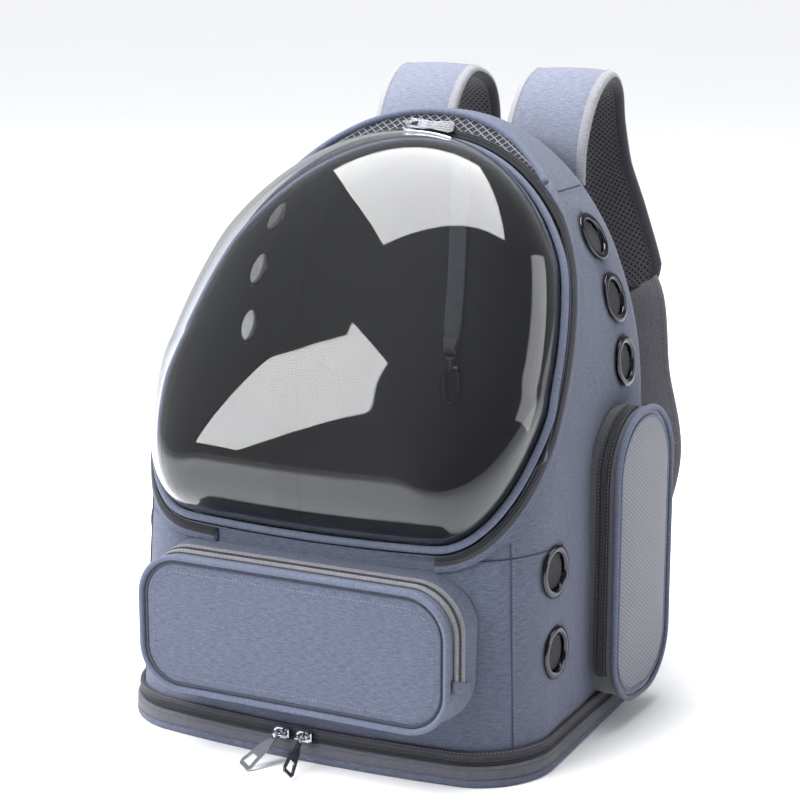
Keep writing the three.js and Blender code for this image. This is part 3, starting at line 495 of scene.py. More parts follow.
# %% Hard materials
def metal(name, colour, rough, grain=0.12):
    material, tree, shader, place = new_material(name, colour)
    wear = place_group(tree, WEAR, Vector=place.outputs["Object"], Amount=0.6)
    dull = [0.6 * c for c in colour]
    tree.links.new(mixed(tree, wear.outputs["Mask"], (*colour, 1), (*dull, 1)), shader.inputs["Base Color"])
    shader.inputs["Metallic"].default_value = 1.0
    smear = noise(tree, stretched(tree, place.outputs["Object"], (1, 1, 5)), 260, 3.0)
    level = maths(tree, "ADD", rough, maths(tree, "MULTIPLY", smear, grain))
    tree.links.new(level, shader.inputs["Roughness"])
    add_bump(tree, shader, smear, 0.08, 0.0002)
    return material


def plastic(name, colour, rough):
    material, tree, shader, place = new_material(name, colour)
    grain = noise(tree, place.outputs["Object"], 1500, 2.0)
    deep = [0.7 * c for c in colour]
    tree.links.new(mixed(tree, grain, (*deep, 1), (*colour, 1)), shader.inputs["Base Color"])
    level = maths(tree, "ADD", rough, maths(tree, "MULTIPLY", grain, 0.12))
    tree.links.new(level, shader.inputs["Roughness"])
    add_bump(tree, shader, grain, 0.15, 0.0001)
    return material


chrome = metal("polished_zinc", (0.50, 0.51, 0.55), 0.06)
gunmetal = metal("dark_nickel", (0.055, 0.057, 0.066), 0.08, 0.05)
black_plastic = plastic("moulded_hook", (0.02, 0.02, 0.022), 0.32)
coil_nylon = plastic("coil_nylon", (0.085, 0.086, 0.098), 0.3)
thread = plastic("sewing_thread", (0.30, 0.31, 0.35), 0.7)
dark_thread = plastic("dark_thread", (0.02, 0.02, 0.024), 0.7)
print("hard materials: 6")

# %% [markdown]
# The dome is smoked polycarbonate. A transmitting shader with its real index of refraction
# bends light at both skins; faint scuffs and slow waves keep it from looking like glass.

# %% Clear sheet
def clear_sheet():
    """Polycarbonate: clear and a little smoky, with faint scuffs that show in highlights."""
    material, tree, shader, place = new_material("clear_sheet", (0.6, 0.62, 0.66))
    drawn = stretched(tree, place.outputs["Object"], (1, 3, 1))
    scuff = smooth_step(tree, noise(tree, drawn, 90, 4.0, 0.7), 0.62, 0.8)
    shader.inputs["Base Color"].default_value = (0.86, 0.875, 0.90, 1)
    shader.inputs["Transmission Weight"].default_value = 1.0
    shader.inputs["IOR"].default_value = 1.45
    level = maths(tree, "ADD", 0.015, maths(tree, "MULTIPLY", scuff, 0.03))
    tree.links.new(level, shader.inputs["Roughness"])
    waves = noise(tree, place.outputs["Object"], 9, 2.0)
    add_bump(tree, shader, waves, 0.06, 0.004)
    return material


clear = clear_sheet()
print("clear sheet ready")

# %% [markdown]
# ## Repeats by Geometry Nodes
# Zip teeth and stitches are the same small shape set along a line again and again, and a net
# is one thin strand swept along many lines. Two node trees do this: one places a shape at
# even steps and turns it with the line, the other gives every line a round section.

# %% Tree for shapes set along lines
def geometry_tree(name, inputs, build):
    """A tree from lines to painted shapes; build makes the shapes from the lines' curve."""
    tree = bpy.data.node_groups.new(name, "GeometryNodeTree")
    for label, kind in (("Geometry", "Geometry"), *inputs, ("Finish", "Material")):
        tree.interface.new_socket(label, in_out="INPUT", socket_type="NodeSocket" + kind)
    tree.interface.new_socket("Geometry", in_out="OUTPUT", socket_type="NodeSocketGeometry")
    given = tree.nodes.new("NodeGroupInput").outputs
    curve = add_node(tree, "GeometryNodeMeshToCurve", {"Mesh": given["Geometry"]})
    real = add_node(tree, "GeometryNodeRealizeInstances", {"Geometry": build(tree, given, curve)})
    paint = add_node(tree, "GeometryNodeSetMaterial", {"Geometry": real, "Material": given["Finish"]})
    tree.links.new(paint, tree.nodes.new("NodeGroupOutput").inputs[0])
    print("geometry tree:", tree.name)
    return tree


def beads(tree, given, curve):
    """A bead at every step, turned with the line and with the way the surface faces."""
    steps = add_node(tree, "GeometryNodeResampleCurve",
                     {"Curve": curve, "Length": given["Spacing"]}, mode="LENGTH")
    tangent = add_node(tree, "GeometryNodeInputTangent", {})
    along = add_node(tree, "FunctionNodeAlignRotationToVector", {"Vector": tangent}, axis="X")
    facing = add_node(tree, "GeometryNodeInputNamedAttribute", {"Name": "facing"}, "Attribute",
                      data_type="FLOAT_VECTOR")
    upright = add_node(tree, "FunctionNodeAlignRotationToVector",
                       {"Rotation": along, "Vector": facing}, axis="Z", pivot_axis="X")
    bead = add_node(tree, "GeometryNodeMeshIcoSphere", {"Radius": 0.5, "Subdivisions": 1})
    return add_node(tree, "GeometryNodeInstanceOnPoints",
                    {"Points": steps, "Instance": bead, "Rotation": upright, "Scale": given["Size"]})


REPEAT_TREE = geometry_tree("set_along_lines", (("Spacing", "Float"), ("Size", "Vector")), beads)

# %% [markdown]
# Strands of net, and the dark strand that paints the shade in a seam's furrow, are round threads along their
# lines. Bevelled curves would do for one; a second tree makes hundreds at once from a single mesh of lines.

# %% Tree for strands
def tubes(tree, given, curve):
    section = add_node(tree, "GeometryNodeCurvePrimitiveCircle",
                       {"Resolution": 5, "Radius": given["Radius"]})
    return add_node(tree, "GeometryNodeCurveToMesh",
                    {"Curve": curve, "Profile Curve": section, "Fill Caps": True})


STRAND_TREE = geometry_tree("round_strands", (("Radius", "Float"),), tubes)

# %% [markdown]
# The trees need lines with the way the surface faces at each point. They are run once and
# kept as plain meshes, so nothing is worked out again when the piece is moved or exported.

# %% Run a tree on lines
def lines_mesh(name, lines):
    """Open polylines, each a list of points and a list of the ways the surface faces there."""
    points, edges, faces_to = [], [], []
    for path, facing in lines:
        start = len(points)
        points += [tuple(np.asarray(p) * MM) for p in path]
        facing = np.broadcast_to(np.asarray(facing, dtype=float), (len(path), 3))
        faces_to += [tuple(f) for f in facing]
        edges += [(start + k, start + k + 1) for k in range(len(path) - 1)]
    mesh = bpy.data.meshes.new(name)
    mesh.from_pydata(points, edges, [])
    attribute = mesh.attributes.new("facing", "FLOAT_VECTOR", "POINT")
    attribute.data.foreach_set("vector", np.asarray(faces_to).ravel())
    return add_object(name, mesh)


def grown_from(name, tree, lines, values, slot):
    """Runs a tree on the lines and keeps the result as a plain mesh."""
    source = lines_mesh(name + "_lines", lines)
    modifier = source.modifiers.new("build", "NODES")
    modifier.node_group = tree
    for item in tree.interface.items_tree:
        if item.in_out == "INPUT" and item.name in values:
            modifier[item.identifier] = values[item.name]
    source.update_tag()
    bpy.context.view_layer.update()
    whole = source.evaluated_get(bpy.context.evaluated_depsgraph_get())
    mesh = bpy.data.meshes.new_from_object(whole)
    mesh.name = name
    mesh.polygons.foreach_set("use_smooth", [True] * len(mesh.polygons))
    obj = add_object(name, mesh)
    bpy.data.objects.remove(source)
    print(name, len(mesh.polygons), "faces")
    return finish_piece(obj, slot)


def set_along(name, lines, spacing, size, material, slot):
    values = {"Spacing": spacing * MM, "Size": tuple(s * MM for s in size), "Finish": material}
    return grown_from(name, REPEAT_TREE, lines, values, slot)


def strands(name, lines, radius, material, slot):
    return grown_from(name, STRAND_TREE, lines, {"Radius": radius * MM, "Finish": material}, slot)


# Step between stitches and the size of one: along the line, across it and its height, in mm.
STITCHES = {
    "fine": (2.6, (1.7, 0.4, 0.3)), "seam": (2.8, (1.8, 0.4, 0.3)), "base": (2.8, (1.8, 0.4, 0.4)),
    "tape": (3.0, (2.0, 0.4, 0.4)), "hinge": (3.0, (1.9, 0.45, 0.35)), "face": (3.0, (1.9, 0.4, 0.35)),
    "strap": (3.0, (2.0, 0.45, 0.35)), "webbing": (3.2, (2.1, 0.5, 0.3)), "bar": (1.4, (1.5, 0.9, 0.7)),
}


def stitch(name, lines, kind, material=thread, slot="heather_fabric"):
    return set_along(name, lines, *STITCHES[kind], material, slot)


print("line tools ready")

# %% [markdown]
# ## The cabin's cloth
# The real cabin is one shell of padded polyester: a gusset that runs up one side, over the
# roof and down the other, sewn to an upright front below the window. It is made as one sheet
# of rows that start at the back and run forward until they meet the window's slanted plane
# or the front's middle, so its free edge lies exactly on the window's rim.

# %% Rows of the cabin's cloth
ROW_STEP, COLUMNS, ROUND_COLUMNS, NOWHERE = 4.0, 88, 6, -1000.0


def forward_path(half, z):
    """From the back rounding's front edge forward along the side, the corner and the front."""
    radius, _, line, _ = front_level(z)
    stop = slope_y(z) if z > SILL else NOWHERE
    corner = line + radius if z < SILL * CORNER_REACH else NOWHERE
    ys = np.linspace(BODY_BACK - BACK_ROUNDING, max(corner, stop), 60)
    points = [(half * taper(y, z), y, z) for y in ys]
    if corner > stop:
        steps = [front_point(share, z) for share in np.linspace(1, 0, 140)]
        points += [(x, y, z) for x, y in steps if y > stop or z <= SILL]
    return np.array(points)


def arch_rows():
    """Heights and half widths of the right half's rows, from the base over the roof's top."""
    straight = np.concatenate([
        np.arange(BAND_FOOT, SILL - 1, ROW_STEP), np.linspace(SILL, SILL + 4, 9),
        np.arange(SILL + 6, SPRING, ROW_STEP)])
    turn = np.linspace(0, math.pi / 2, 400)
    xs = BODY_HALF * np.cos(turn) ** (2 / ARCH_POWER)
    zs = SPRING + (BODY_HEIGHT - SPRING) * np.sin(turn) ** (2 / ARCH_POWER)
    crown = resampled(np.stack([xs, zs], -1), int(330 / ROW_STEP))
    return [(BODY_HALF, z) for z in straight] + [tuple(p) for p in crown]


def cabin_grid():
    rows, rounds = [], []
    arch = np.array(arch_rows())
    along = np.gradient(arch, axis=0)
    out = unit(np.stack([along[:, 1], -along[:, 0]], -1))
    for (half, z), (nx, nz) in zip(arch, out):
        turns = np.linspace(math.pi / 2, 0, ROUND_COLUMNS, endpoint=False)
        back = [(half - BACK_ROUNDING * (1 - math.cos(a)) * nx,
                 BODY_BACK - BACK_ROUNDING * (1 - math.sin(a)),
                 z - BACK_ROUNDING * (1 - math.cos(a)) * nz) for a in turns]
        rows.append(np.vstack([back, resampled(forward_path(half, z), COLUMNS)]))
    right = np.array(rows)
    right[:, :, 0] = np.maximum(right[:, :, 0], 0)
    left = right[:-1].copy()[::-1]
    left[:, :, 0] *= -1
    return np.vstack([right, left])


cabin_rows = cabin_grid()
print("cabin grid:", cabin_rows.shape[:2])

# %% [markdown]
# A sewn shell is never perfectly flat: it pulls in between seams and bulges a little where
# the padding is. Points move inwards only, by a millimetre or so, so the cloth keeps clear
# of the pockets and eyelets that sit on it.

# %% Cabin cloth
VENTS = [("%s_%s_%d" % (word, level, number), side)
         for level, count in (("upper", 3), ("lower", 2))
         for word, side in SIDES for number in range(1, count + 1)]
CLOTH_HOLE = 15.2


def vent_seat(word, side):
    """Where an eyelet's middle is and which way it faces, read from the frame's own net."""
    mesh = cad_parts["vent_net_" + word].data
    points = np.array([v.co for v in mesh.vertices]) / MM
    middle = points.mean(0)
    normal = np.linalg.svd(points - middle)[2][2]
    normal *= np.sign(normal[0] * side)
    return middle + 0.5 * WALL * normal, normal


vent_seats = {word: vent_seat(word, side) for word, side in VENTS}


def soften(points, amount=1.3):
    """Pulls cloth in by a slow, repeatable wave that dies out at the seams."""
    moved = points.copy()
    for k, p in enumerate(points):
        place = Vector(p)
        value = perlin.noise(place * 0.011) + 0.5 * perlin.noise(place * 0.03 + Vector((7, 3, 1)))
        inward = np.array([-np.sign(p[0]) * min(abs(p[0]) / 140, 1), 0.25 if p[1] < -80 else 0, 0])
        moved[k] = p + amount * 0.5 * (1 + np.clip(value, -1, 1)) * inward
    return moved


def cabin_cloth():
    points, faces, uvs = grid(cabin_rows)
    cap = [cabin_rows[:, 0]]
    steps = 26
    for k in range(1, steps + 1):
        ring = cap[0].copy()
        share = 1 - k / steps
        ring[:, 0] *= share
        ring[:, 2] = BAND_FOOT + (ring[:, 2] - BAND_FOOT) * share
        cap.append(ring)
    cap_points, cap_faces, _ = grid(np.array(cap))
    start = len(points)
    flat = [(cap_points[i][0], cap_points[i][2]) for face in cap_faces for i in face]
    faces = faces + [tuple(i + start for i in face) for face in cap_faces]
    keep = np.vstack([soften(points), cap_points])
    obj = make_mesh("cabin_cloth", keep, faces, np.vstack([uvs, flat]), [heather, lining])
    tidy_mesh(obj, 0.0002)
    work = bmesh.new()
    work.from_mesh(obj.data)
    for middle, normal in vent_seats.values():
        centre = Vector(middle * MM)
        gone = [f for f in work.faces
                if min((v.co - centre).length for v in f.verts) < CLOTH_HOLE * MM]
        edge = {v for f in gone for v in f.verts}
        bmesh.ops.delete(work, geom=gone, context="FACES")
        for v in [v for v in edge if v.is_valid and v.is_boundary]:
            away = v.co - centre
            away -= away.dot(Vector(normal)) * Vector(normal)
            if away.length > 0:
                v.co += away.normalized() * (CLOTH_HOLE * MM - away.length)
    bmesh.ops.recalc_face_normals(work, faces=work.faces)
    probe = max(work.faces, key=lambda f: f.calc_center_median().x)
    if probe.normal.x < 0:
        bmesh.ops.reverse_faces(work, faces=work.faces)
    work.to_mesh(obj.data)
    work.free()
    flat_uvs(obj)
    wall = obj.modifiers.new("wall", "SOLIDIFY")
    wall.thickness, wall.offset = (WALL - 0.4) * MM, -1
    wall.material_offset, wall.material_offset_rim = 1, 1
    return finish_piece(obj, "heather_fabric", replaces=["body_shell"])


cabin = cabin_cloth()
print("cabin cloth:", len(cabin.data.polygons), "faces before its wall")

# %% [markdown]
# ## The window's rim
# The rim is where the slanted plane cuts the cabin, except at the top, where it is rounded
# off by an ellipse that leaves a crescent of mesh above it.

# %% Rim path
def rim_side():
    points = []
    for share in np.linspace(0, 1, 160):
        z = SILL
        for _ in range(6):
            z = SILL + (front_point(share, z)[1] + BODY_FRONT) / math.tan(TILT)
        points.append((front_point(share, z)[0], (z - SILL) / math.cos(TILT)))
    start = points[-1][1]
    for turn in np.linspace(0, math.pi / 2, 500)[1:]:
        v = start + (WINDOW_HEIGHT - start) * math.sin(turn)
        place = on_slope(0, v, 0)
        crown = max(v - WINDOW_HEIGHT + CROWN_RISE, 0) / CROWN_RISE
        widest = CROWN_WIDTH * math.sqrt(max(1 - crown**2, 0))
        points.append((min(arch_half(place[2]) * taper(place[1], place[2]), widest), v))
    return points


def grown_outline(outline, amount):
    before = unit(outline - np.roll(outline, 1, 0))
    after = unit(np.roll(outline, -1, 0) - outline)
    return outline + amount * unit(np.stack([before[:, 1] + after[:, 1], -before[:, 0] - after[:, 0]], -1))


def smoothed(outline, rounds):
    for _ in range(rounds):
        outline = 0.25 * np.roll(outline, 1, 0) + 0.5 * outline + 0.25 * np.roll(outline, -1, 0)
    return outline


RIM_POINTS = 300
side_points = rim_side()
whole_rim = side_points[1:] + [(-u, v) for u, v in reversed(side_points)]
rim_flat = smoothed(resampled(whole_rim, RIM_POINTS, True), 6)


def rim_path(inset, height):
    flat = grown_outline(rim_flat, -inset)
    return np.array([on_slope(u, v, height) for u, v in flat])


print("rim length:", round(float(np.linalg.norm(np.diff(rim_flat, axis=0), axis=1).sum())), "mm")

# %% [markdown]
# ## The clear dome
# A dome like this is blown from warm polycarbonate sheet into a ring: it rises steeply at the
# rim and flattens towards the crown. A superellipse gives that section, and the sheet keeps
# two real skins, so it bends and darkens what is behind it near its edge.

# %% Dome
DOME_BULGE, DOME_FULLNESS, DOME_WALL, DOME_INSET, DOME_SEAT = 66.0, 2.5, 2.0, 6.0, 3.0


def dome_skin(inset, bulge, steps=44):
    outline = grown_outline(rim_flat, -inset)
    middle = np.array([0, 0.5 * WINDOW_HEIGHT])
    rings = [[on_slope(*p, 0.0) for p in outline]]
    for k in range(steps):
        turn = (k / steps) ** 1.15 * math.pi / 2
        scale = math.cos(turn) ** (2 / DOME_FULLNESS)
        rise = DOME_SEAT + bulge * math.sin(turn) ** (2 / DOME_FULLNESS)
        rings.append([on_slope(*(middle + (p - middle) * scale), rise) for p in outline])
    crown = on_slope(*middle, DOME_SEAT + bulge)
    rings.append([crown] * len(outline))
    return np.array(rings)


def dome():
    outer = dome_skin(DOME_INSET, DOME_BULGE)
    inner = dome_skin(DOME_INSET + DOME_WALL, DOME_BULGE - DOME_WALL)
    sheet = np.concatenate([inner[::-1], outer])
    points, faces, uvs = grid(sheet, False, True)
    obj = tidy_mesh(make_mesh("window_dome_clear", points, faces, uvs, [clear]), 0.00002)
    return finish_piece(obj, "clear_plastic", replaces=["window_dome"])


dome_piece = dome()
print("dome:", len(dome_piece.data.polygons), "faces")

# %% [markdown]
# The piping round the dome is a cord in a bias-cut strip of cloth. The strip's flat edge is
# sewn under it, so a narrow fabric flange shows between the piping and the dome.

# %% Window piping and flange
WINDOW_PIPING = 2.6
window_piping = sweep(
    "window_piping_cord", rim_path(WINDOW_PIPING + FIT, WINDOW_PIPING + FIT),
    circle(WINDOW_PIPING, 14), SLOPE_OUT, [piping_cloth])
finish_piece(window_piping, "heather_fabric", replaces=["window_piping"])
flange_profile = [(0.2, -2.6), (1.7, -2.4), (1.9, 0.0), (1.0, 2.2), (0.2, 2.4)]
flange = sweep("dome_flange", rim_path(8.4, 3.4), flange_profile, SLOPE_OUT, [dark_tape])
finish_piece(flange, "dark_tape")
print("piping and flange:", len(window_piping.data.polygons), "faces")

# %% [markdown]
# ## Walking on the cabin
# The window's zip starts on the flat slope at the roof and folds over the edge onto the
# cabin's sides. To lay it, each rim point walks outwards over the real surface: a gap
# function tells how far a place is from the cabin, and every small step is pulled back to it.

# %% Surface walk
def body_gap(p):
    """About how far each place lies outside the cabin's cloth, in mm."""
    x, y, z = np.abs(p[:, 0]), p[:, 1], p[:, 2]
    radius, bow, line, half = front_level(z)
    wide = np.clip((x - half + radius) / radius, 0, 0.999)
    level = np.sqrt(1 - wide**2)
    front = (line + radius * (1 - level) - bow * (1 - (x / half) ** 2) - y) * level
    rise = np.clip((z - SPRING) / (BODY_HEIGHT - SPRING), 0, None)
    side = ((x / (BODY_HALF * taper(y, z))) ** ARCH_POWER + rise**ARCH_POWER) ** (1 / ARCH_POWER) - 1
    return np.maximum(front, side * BODY_HALF)


def surface_normal(p, step=0.05):
    slope = np.stack([body_gap(p + step * axis) - body_gap(p - step * axis) for axis in np.eye(3)], -1)
    slope /= 2 * step
    size = np.linalg.norm(slope, axis=1)[:, None]
    return slope / size, size[:, 0]


def settle(p, rounds=4):
    for _ in range(rounds):
        normal, size = surface_normal(p)
        p = p - (body_gap(p) / size)[:, None] * normal
    return p, surface_normal(p)[0]


def halved(low, high, test, rounds=24):
    """Closes in on the place where a test stops being true, for many lines at once."""
    for _ in range(rounds):
        half = 0.5 * (low + high)
        good = test(half)
        low, high = np.where(good, half, low), np.where(good, high, half)
    return low


rim_3d = rim_path(0, 0)
rim_along = unit(np.roll(rim_3d, -1, 0) - np.roll(rim_3d, 1, 0))
rim_away = np.cross(rim_along, SLOPE_OUT)
rim_away *= np.sign((rim_away * (rim_3d - on_slope(0, WINDOW_HEIGHT / 2, 0))).sum(1))[:, None]


def room_beside_rim():
    """How far the flat slope reaches past the rim before the roof or the side cuts it off."""
    return halved(np.zeros(len(rim_3d)), np.full(len(rim_3d), 80.0),
                  lambda reach: body_gap(rim_3d + reach[:, None] * rim_away) < 0)


rim_room = smoothed(room_beside_rim(), 4)


def beside_rim(distance, height):
    """A path round the window at a distance outside its rim, and the way its cloth faces."""
    flat = np.minimum(distance, rim_room)
    place = rim_3d + flat[:, None] * rim_away
    left = np.maximum(distance - flat, 0)
    p, normal = settle(place)
    for _ in range(10):
        back = np.cross(rim_along, normal)
        back *= np.sign((back * -SLOPE_OUT).sum(1))[:, None]
        p, normal = settle(p + (left / 10)[:, None] * back, rounds=2)
    share = np.clip((left + 0.6) / 1.2, 0, 1)[:, None]
    facing = unit(smoothed((1 - share) * SLOPE_OUT + share * normal, 3))
    return np.where(left[:, None] > 0, p, place) + height * facing, facing


print("slope left above the window:", round(float(rim_room.max()), 1), "mm")

# %% [markdown]
# The window opens with a long coil zip. A coil zip is two woven tapes with a plastic spiral
# sewn along each edge; closed, the spirals lock and hide the gap. It runs from the lower left
# over the roof to the lower right, and what is left between its ends is the fabric hinge.

# %% Window zip
ZIP_START_X, ZIP_END_X = 95.0, -71.0
ZIP_LIFT, ZIP_TAPE, COIL_PITCH = 0.15, 0.9, 1.35
TAPE_BAND, CORD_BAND, CORD_TOP = (1.2, 4.4), (4.2, 6.9), 0.8
COIL_AT, COIL_HEIGHT, COIL_SIZE = (4.8, 6.4), 1.2, (0.95, 2.3, 1.2)
lower = rim_flat[:, 1] < 60
zip_from = int(np.argmax((rim_flat[:, 0] > ZIP_START_X) & lower))
zip_to = len(rim_flat) - int(np.argmax(((rim_flat[:, 0] < ZIP_END_X) & lower)[::-1]))


def zip_rows(near, far, low, high, steps=4):
    """A closed section of a tape: up one face, over its edge and back down the other."""
    top = [beside_rim(d, high)[0] for d in np.linspace(near, far, steps)]
    under = [beside_rim(d, low)[0] for d in np.linspace(far, near, steps)]
    return np.array([row[zip_from:zip_to] for row in top + under])


def closed_strip(name, rows, material, slot, replaces=()):
    """A strip from rows that run along it; the rows close round it and both ends are capped."""
    points, faces, uvs = grid(rows, True, False)
    count, width = rows.shape[:2]
    faces += [tuple(k * width + end for k in range(count)) for end in (0, width - 1)]
    uvs += [(0, 0)] * (2 * count)
    obj = tidy_mesh(make_mesh(name, points, faces, uvs, [material]), 0.00001)
    return finish_piece(obj, slot, replaces)


closed_strip("window_zip_tape_inner", zip_rows(*TAPE_BAND, ZIP_LIFT, ZIP_LIFT + ZIP_TAPE), dark_tape,
             "dark_tape", ["window_zip"])
closed_strip("window_zip_cord", zip_rows(*CORD_BAND, ZIP_LIFT, CORD_TOP), dark_binding, "dark_tape")
coil_lines = [[row[zip_from:zip_to] for row in beside_rim(distance, COIL_HEIGHT)] for distance in COIL_AT]
set_along("window_zip_coil", coil_lines, COIL_PITCH, COIL_SIZE, coil_nylon, "black_plastic")

# %% [markdown]
# On the cabin's side of the coil the tape is hidden under a folded edge of the same cloth,
# held by one row of stitches. It stops where the crescent of mesh takes its place.

# %% Folded edge beside the zip
FOLD_NEAR, FOLD_FAR, FOLD_TOP, FOLD_ROOM = 6.8, 11.4, 1.35, 12.0
tight = np.flatnonzero(rim_room[zip_from:zip_to] < FOLD_ROOM)
turn = int(np.argmax(np.diff(tight)))
fold_spans = [(0, int(tight[turn]) + 1), (int(tight[turn + 1]), zip_to - zip_from)]
fold_rows = zip_rows(FOLD_NEAR, FOLD_FAR, ZIP_LIFT, FOLD_TOP, 6)
stitch_path, stitch_facing = (row[zip_from:zip_to] for row in beside_rim(FOLD_NEAR + 1.3, FOLD_TOP + 0.15))
fold_stitches = []
for word, (start, end) in zip(("right", "left"), fold_spans):
    closed_strip("window_fold_" + word, fold_rows[:, start:end], heather, "heather_fabric")
    fold_stitches.append((stitch_path[start:end], stitch_facing[start:end]))
stitch("window_fold_stitches", fold_stitches, "fine")

# %% [markdown]
# Above the window the slope is closed by a crescent of open diamond mesh, so the animal gets air. Real
# strands are knitted; here two families of fine strands cross over a dark sheet, painted shade for the dim
# inside seen through the holes.

# %% Crescent of mesh
CRESCENT_PITCH, UPPER_RIM, SHADE_SHEET_ROOM, ROLL_ROOM = 4.6, 200, 9.0, 11.0
MESH_TURNS, MESH_START, MESH_EDGE = (math.radians(38), math.radians(142)), 7.2, 1.5


# A dark sheet under the strands: painted shade for the shaded inside seen through the open mesh.
def crescent_shade_sheet():
    at = [k for k in range(len(rim_flat)) if rim_flat[k, 1] > UPPER_RIM and rim_room[k] > SHADE_SHEET_ROOM]
    rows = []
    for share in np.linspace(0, 1, 8):
        flat = np.minimum(7.0, rim_room) + share * np.maximum(rim_room - 8.0, 0)
        rows.append((rim_3d + flat[:, None] * rim_away - 0.9 * SLOPE_OUT)[at])
    top = np.array(rows)
    under = top[::-1] - 0.6 * SLOPE_OUT
    return closed_strip("crescent_shade_sheet", np.vstack([top, under]), dark_binding, "black_mesh",
                        replaces=["top_mesh"])


def crescent_lines():
    ground = np.array([0.0, WINDOW_HEIGHT - 60])
    lines = []
    for turn in MESH_TURNS:
        along = np.array([math.cos(turn), math.sin(turn)])
        across = np.array([-along[1], along[0]])
        for step in np.arange(-200, 200, CRESCENT_PITCH):
            flat = ground + step * across + np.linspace(-220, 220, 441)[:, None] * along
            place = np.array([on_slope(u, v, -0.4) for u, v in flat])
            nearest = np.linalg.norm(flat[:, None] - rim_flat[None], axis=2).argmin(1)
            outward = ((flat - rim_flat[nearest]) * rim_normal_flat[nearest]).sum(1)
            keep = (outward > MESH_START) & (body_gap(place) < -MESH_EDGE) & (flat[:, 1] > UPPER_RIM)
            start = None
            for k, good in enumerate(list(keep) + [False]):
                if good and start is None:
                    start = k
                elif not good and start is not None:
                    if k - start > 2:
                        lines.append((place[[start, k - 1]], SLOPE_OUT))
                    start = None
    return lines


rim_normal_flat = np.stack([rim_away[:, 0], rim_away @ SLOPE_UP], -1)
crescent_shade_sheet()
strands("crescent_strands", crescent_lines(), 0.42, thread, "black_mesh")

# %% [markdown]
# Where the roof's cloth ends over the crescent it is rolled round a cord and sewn. A short
# sweep along the edge of the slope gives that roll, in the same cloth as the piping.

# %% Rolled edge of the roof
ROLL_RADIUS = 2.6
roll_at = [k for k in range(len(rim_flat)) if rim_flat[k, 1] > UPPER_RIM and rim_room[k] > ROLL_ROOM]
roll_line = (rim_3d + (rim_room - ROLL_RADIUS + 0.4)[:, None] * rim_away + 0.2 * SLOPE_OUT)[roll_at]
roof_roll = sweep("roof_roll", roll_line, circle(ROLL_RADIUS, 12), SLOPE_OUT, [piping_cloth], False)
finish_piece(roof_roll, "heather_fabric")
print("roof roll:", len(roof_roll.data.polygons), "faces")

# %% [markdown]
# ## Seams
# The side panels are sewn to the front and to the roof. A seam shows as a fine furrow with the cloth pulled
# tight on both sides and, on flat places, a row of stitches beside it. The furrow's shade is painted: a thin
# dark strand along the seam.

# %% Seams and stitch rows
def seam(name, path, facing, beside):
    """A thin dark strand along a path, painted shade for a seam's furrow, and stitches on one side of it."""
    strands(name, [(path - 0.25 * facing, facing)], 0.5, seam_shade_cloth, "heather_fabric")
    along = unit(np.gradient(path, axis=0))
    off = path + beside * np.cross(along, facing) + 0.15 * facing
    stitch(name + "_stitches", [(off, facing)], "seam")


FRONT_SEAM_SHARE, SEAM_FOOT, SEAM_TOP, ROOF_SEAM = 0.766, 24.6, 166.0, 383.0
for word, side in SIDES:
    levels = np.linspace(SEAM_FOOT, SEAM_TOP, 60)
    corner = np.array([[*front_point(FRONT_SEAM_SHARE, z), z] for z in levels]) * (side, 1, 1)
    angle = (2 * FRONT_SEAM_SHARE - 1) * math.pi / 2
    facing = np.broadcast_to([side * math.sin(angle), -math.cos(angle), 0.0], corner.shape)
    seam("front_seam_" + word, corner, facing, 1.8)
    depths = np.linspace(slope_y(ROOF_SEAM) + 9, BODY_BACK - BACK_ROUNDING, 40)
    roof = np.column_stack([side * arch_half(ROOF_SEAM) * taper(depths, ROOF_SEAM), depths,
                            np.full(len(depths), ROOF_SEAM)])
    roof, facing = settle(roof)
    seam("roof_seam_" + word, roof, facing, 2.0)

hinge_path, hinge_facing = beside_rim(9.0, 0.25)
around = [*range(zip_to, len(rim_flat)), *range(zip_from)]
stitch("hinge_stitches", [(hinge_path[around], hinge_facing[around])], "hinge", binding)

# %% [markdown]
# ## Base
# The base is a moulded board in cloth: a blue rounded lower edge, a sewn groove, a flat grey
# tape above it, and a zip all round the front and sides that lets the floor come out.

# %% Base band
LEVEL_POINTS = 260


def level_path(z, grow, count=LEVEL_POINTS, back_limit=None):
    """The cabin's outline at a level, grown outwards; open at the back if a limit is given."""
    right = []
    if back_limit is None:
        right += [(x, BODY_BACK + grow) for x in np.linspace(0, BODY_HALF - BACK_ROUNDING, 12)[:-1]]
        for turn in np.linspace(math.pi / 2, 0, 10):
            right.append((BODY_HALF - BACK_ROUNDING + (BACK_ROUNDING + grow) * math.cos(turn),
                          BODY_BACK - BACK_ROUNDING + (BACK_ROUNDING + grow) * math.sin(turn)))
    radius, _, line, _ = front_level(z)
    start = BODY_BACK - BACK_ROUNDING if back_limit is None else back_limit
    right += [(BODY_HALF * taper(y, z) + grow, y) for y in np.linspace(start, line + radius, 30)[1:-1]]
    right += [tuple(front_point(share, z, grow)) for share in np.linspace(1, 0, 120)]
    right = np.array(right)
    left = right[::-1] * (-1, 1)
    if back_limit is None:
        whole = resampled(np.vstack([right[:-1], left[:-1]]), count, True)
    else:
        whole = resampled(np.vstack([right[:-1], left]), count)
    return np.column_stack([whole, np.full(count, z)])


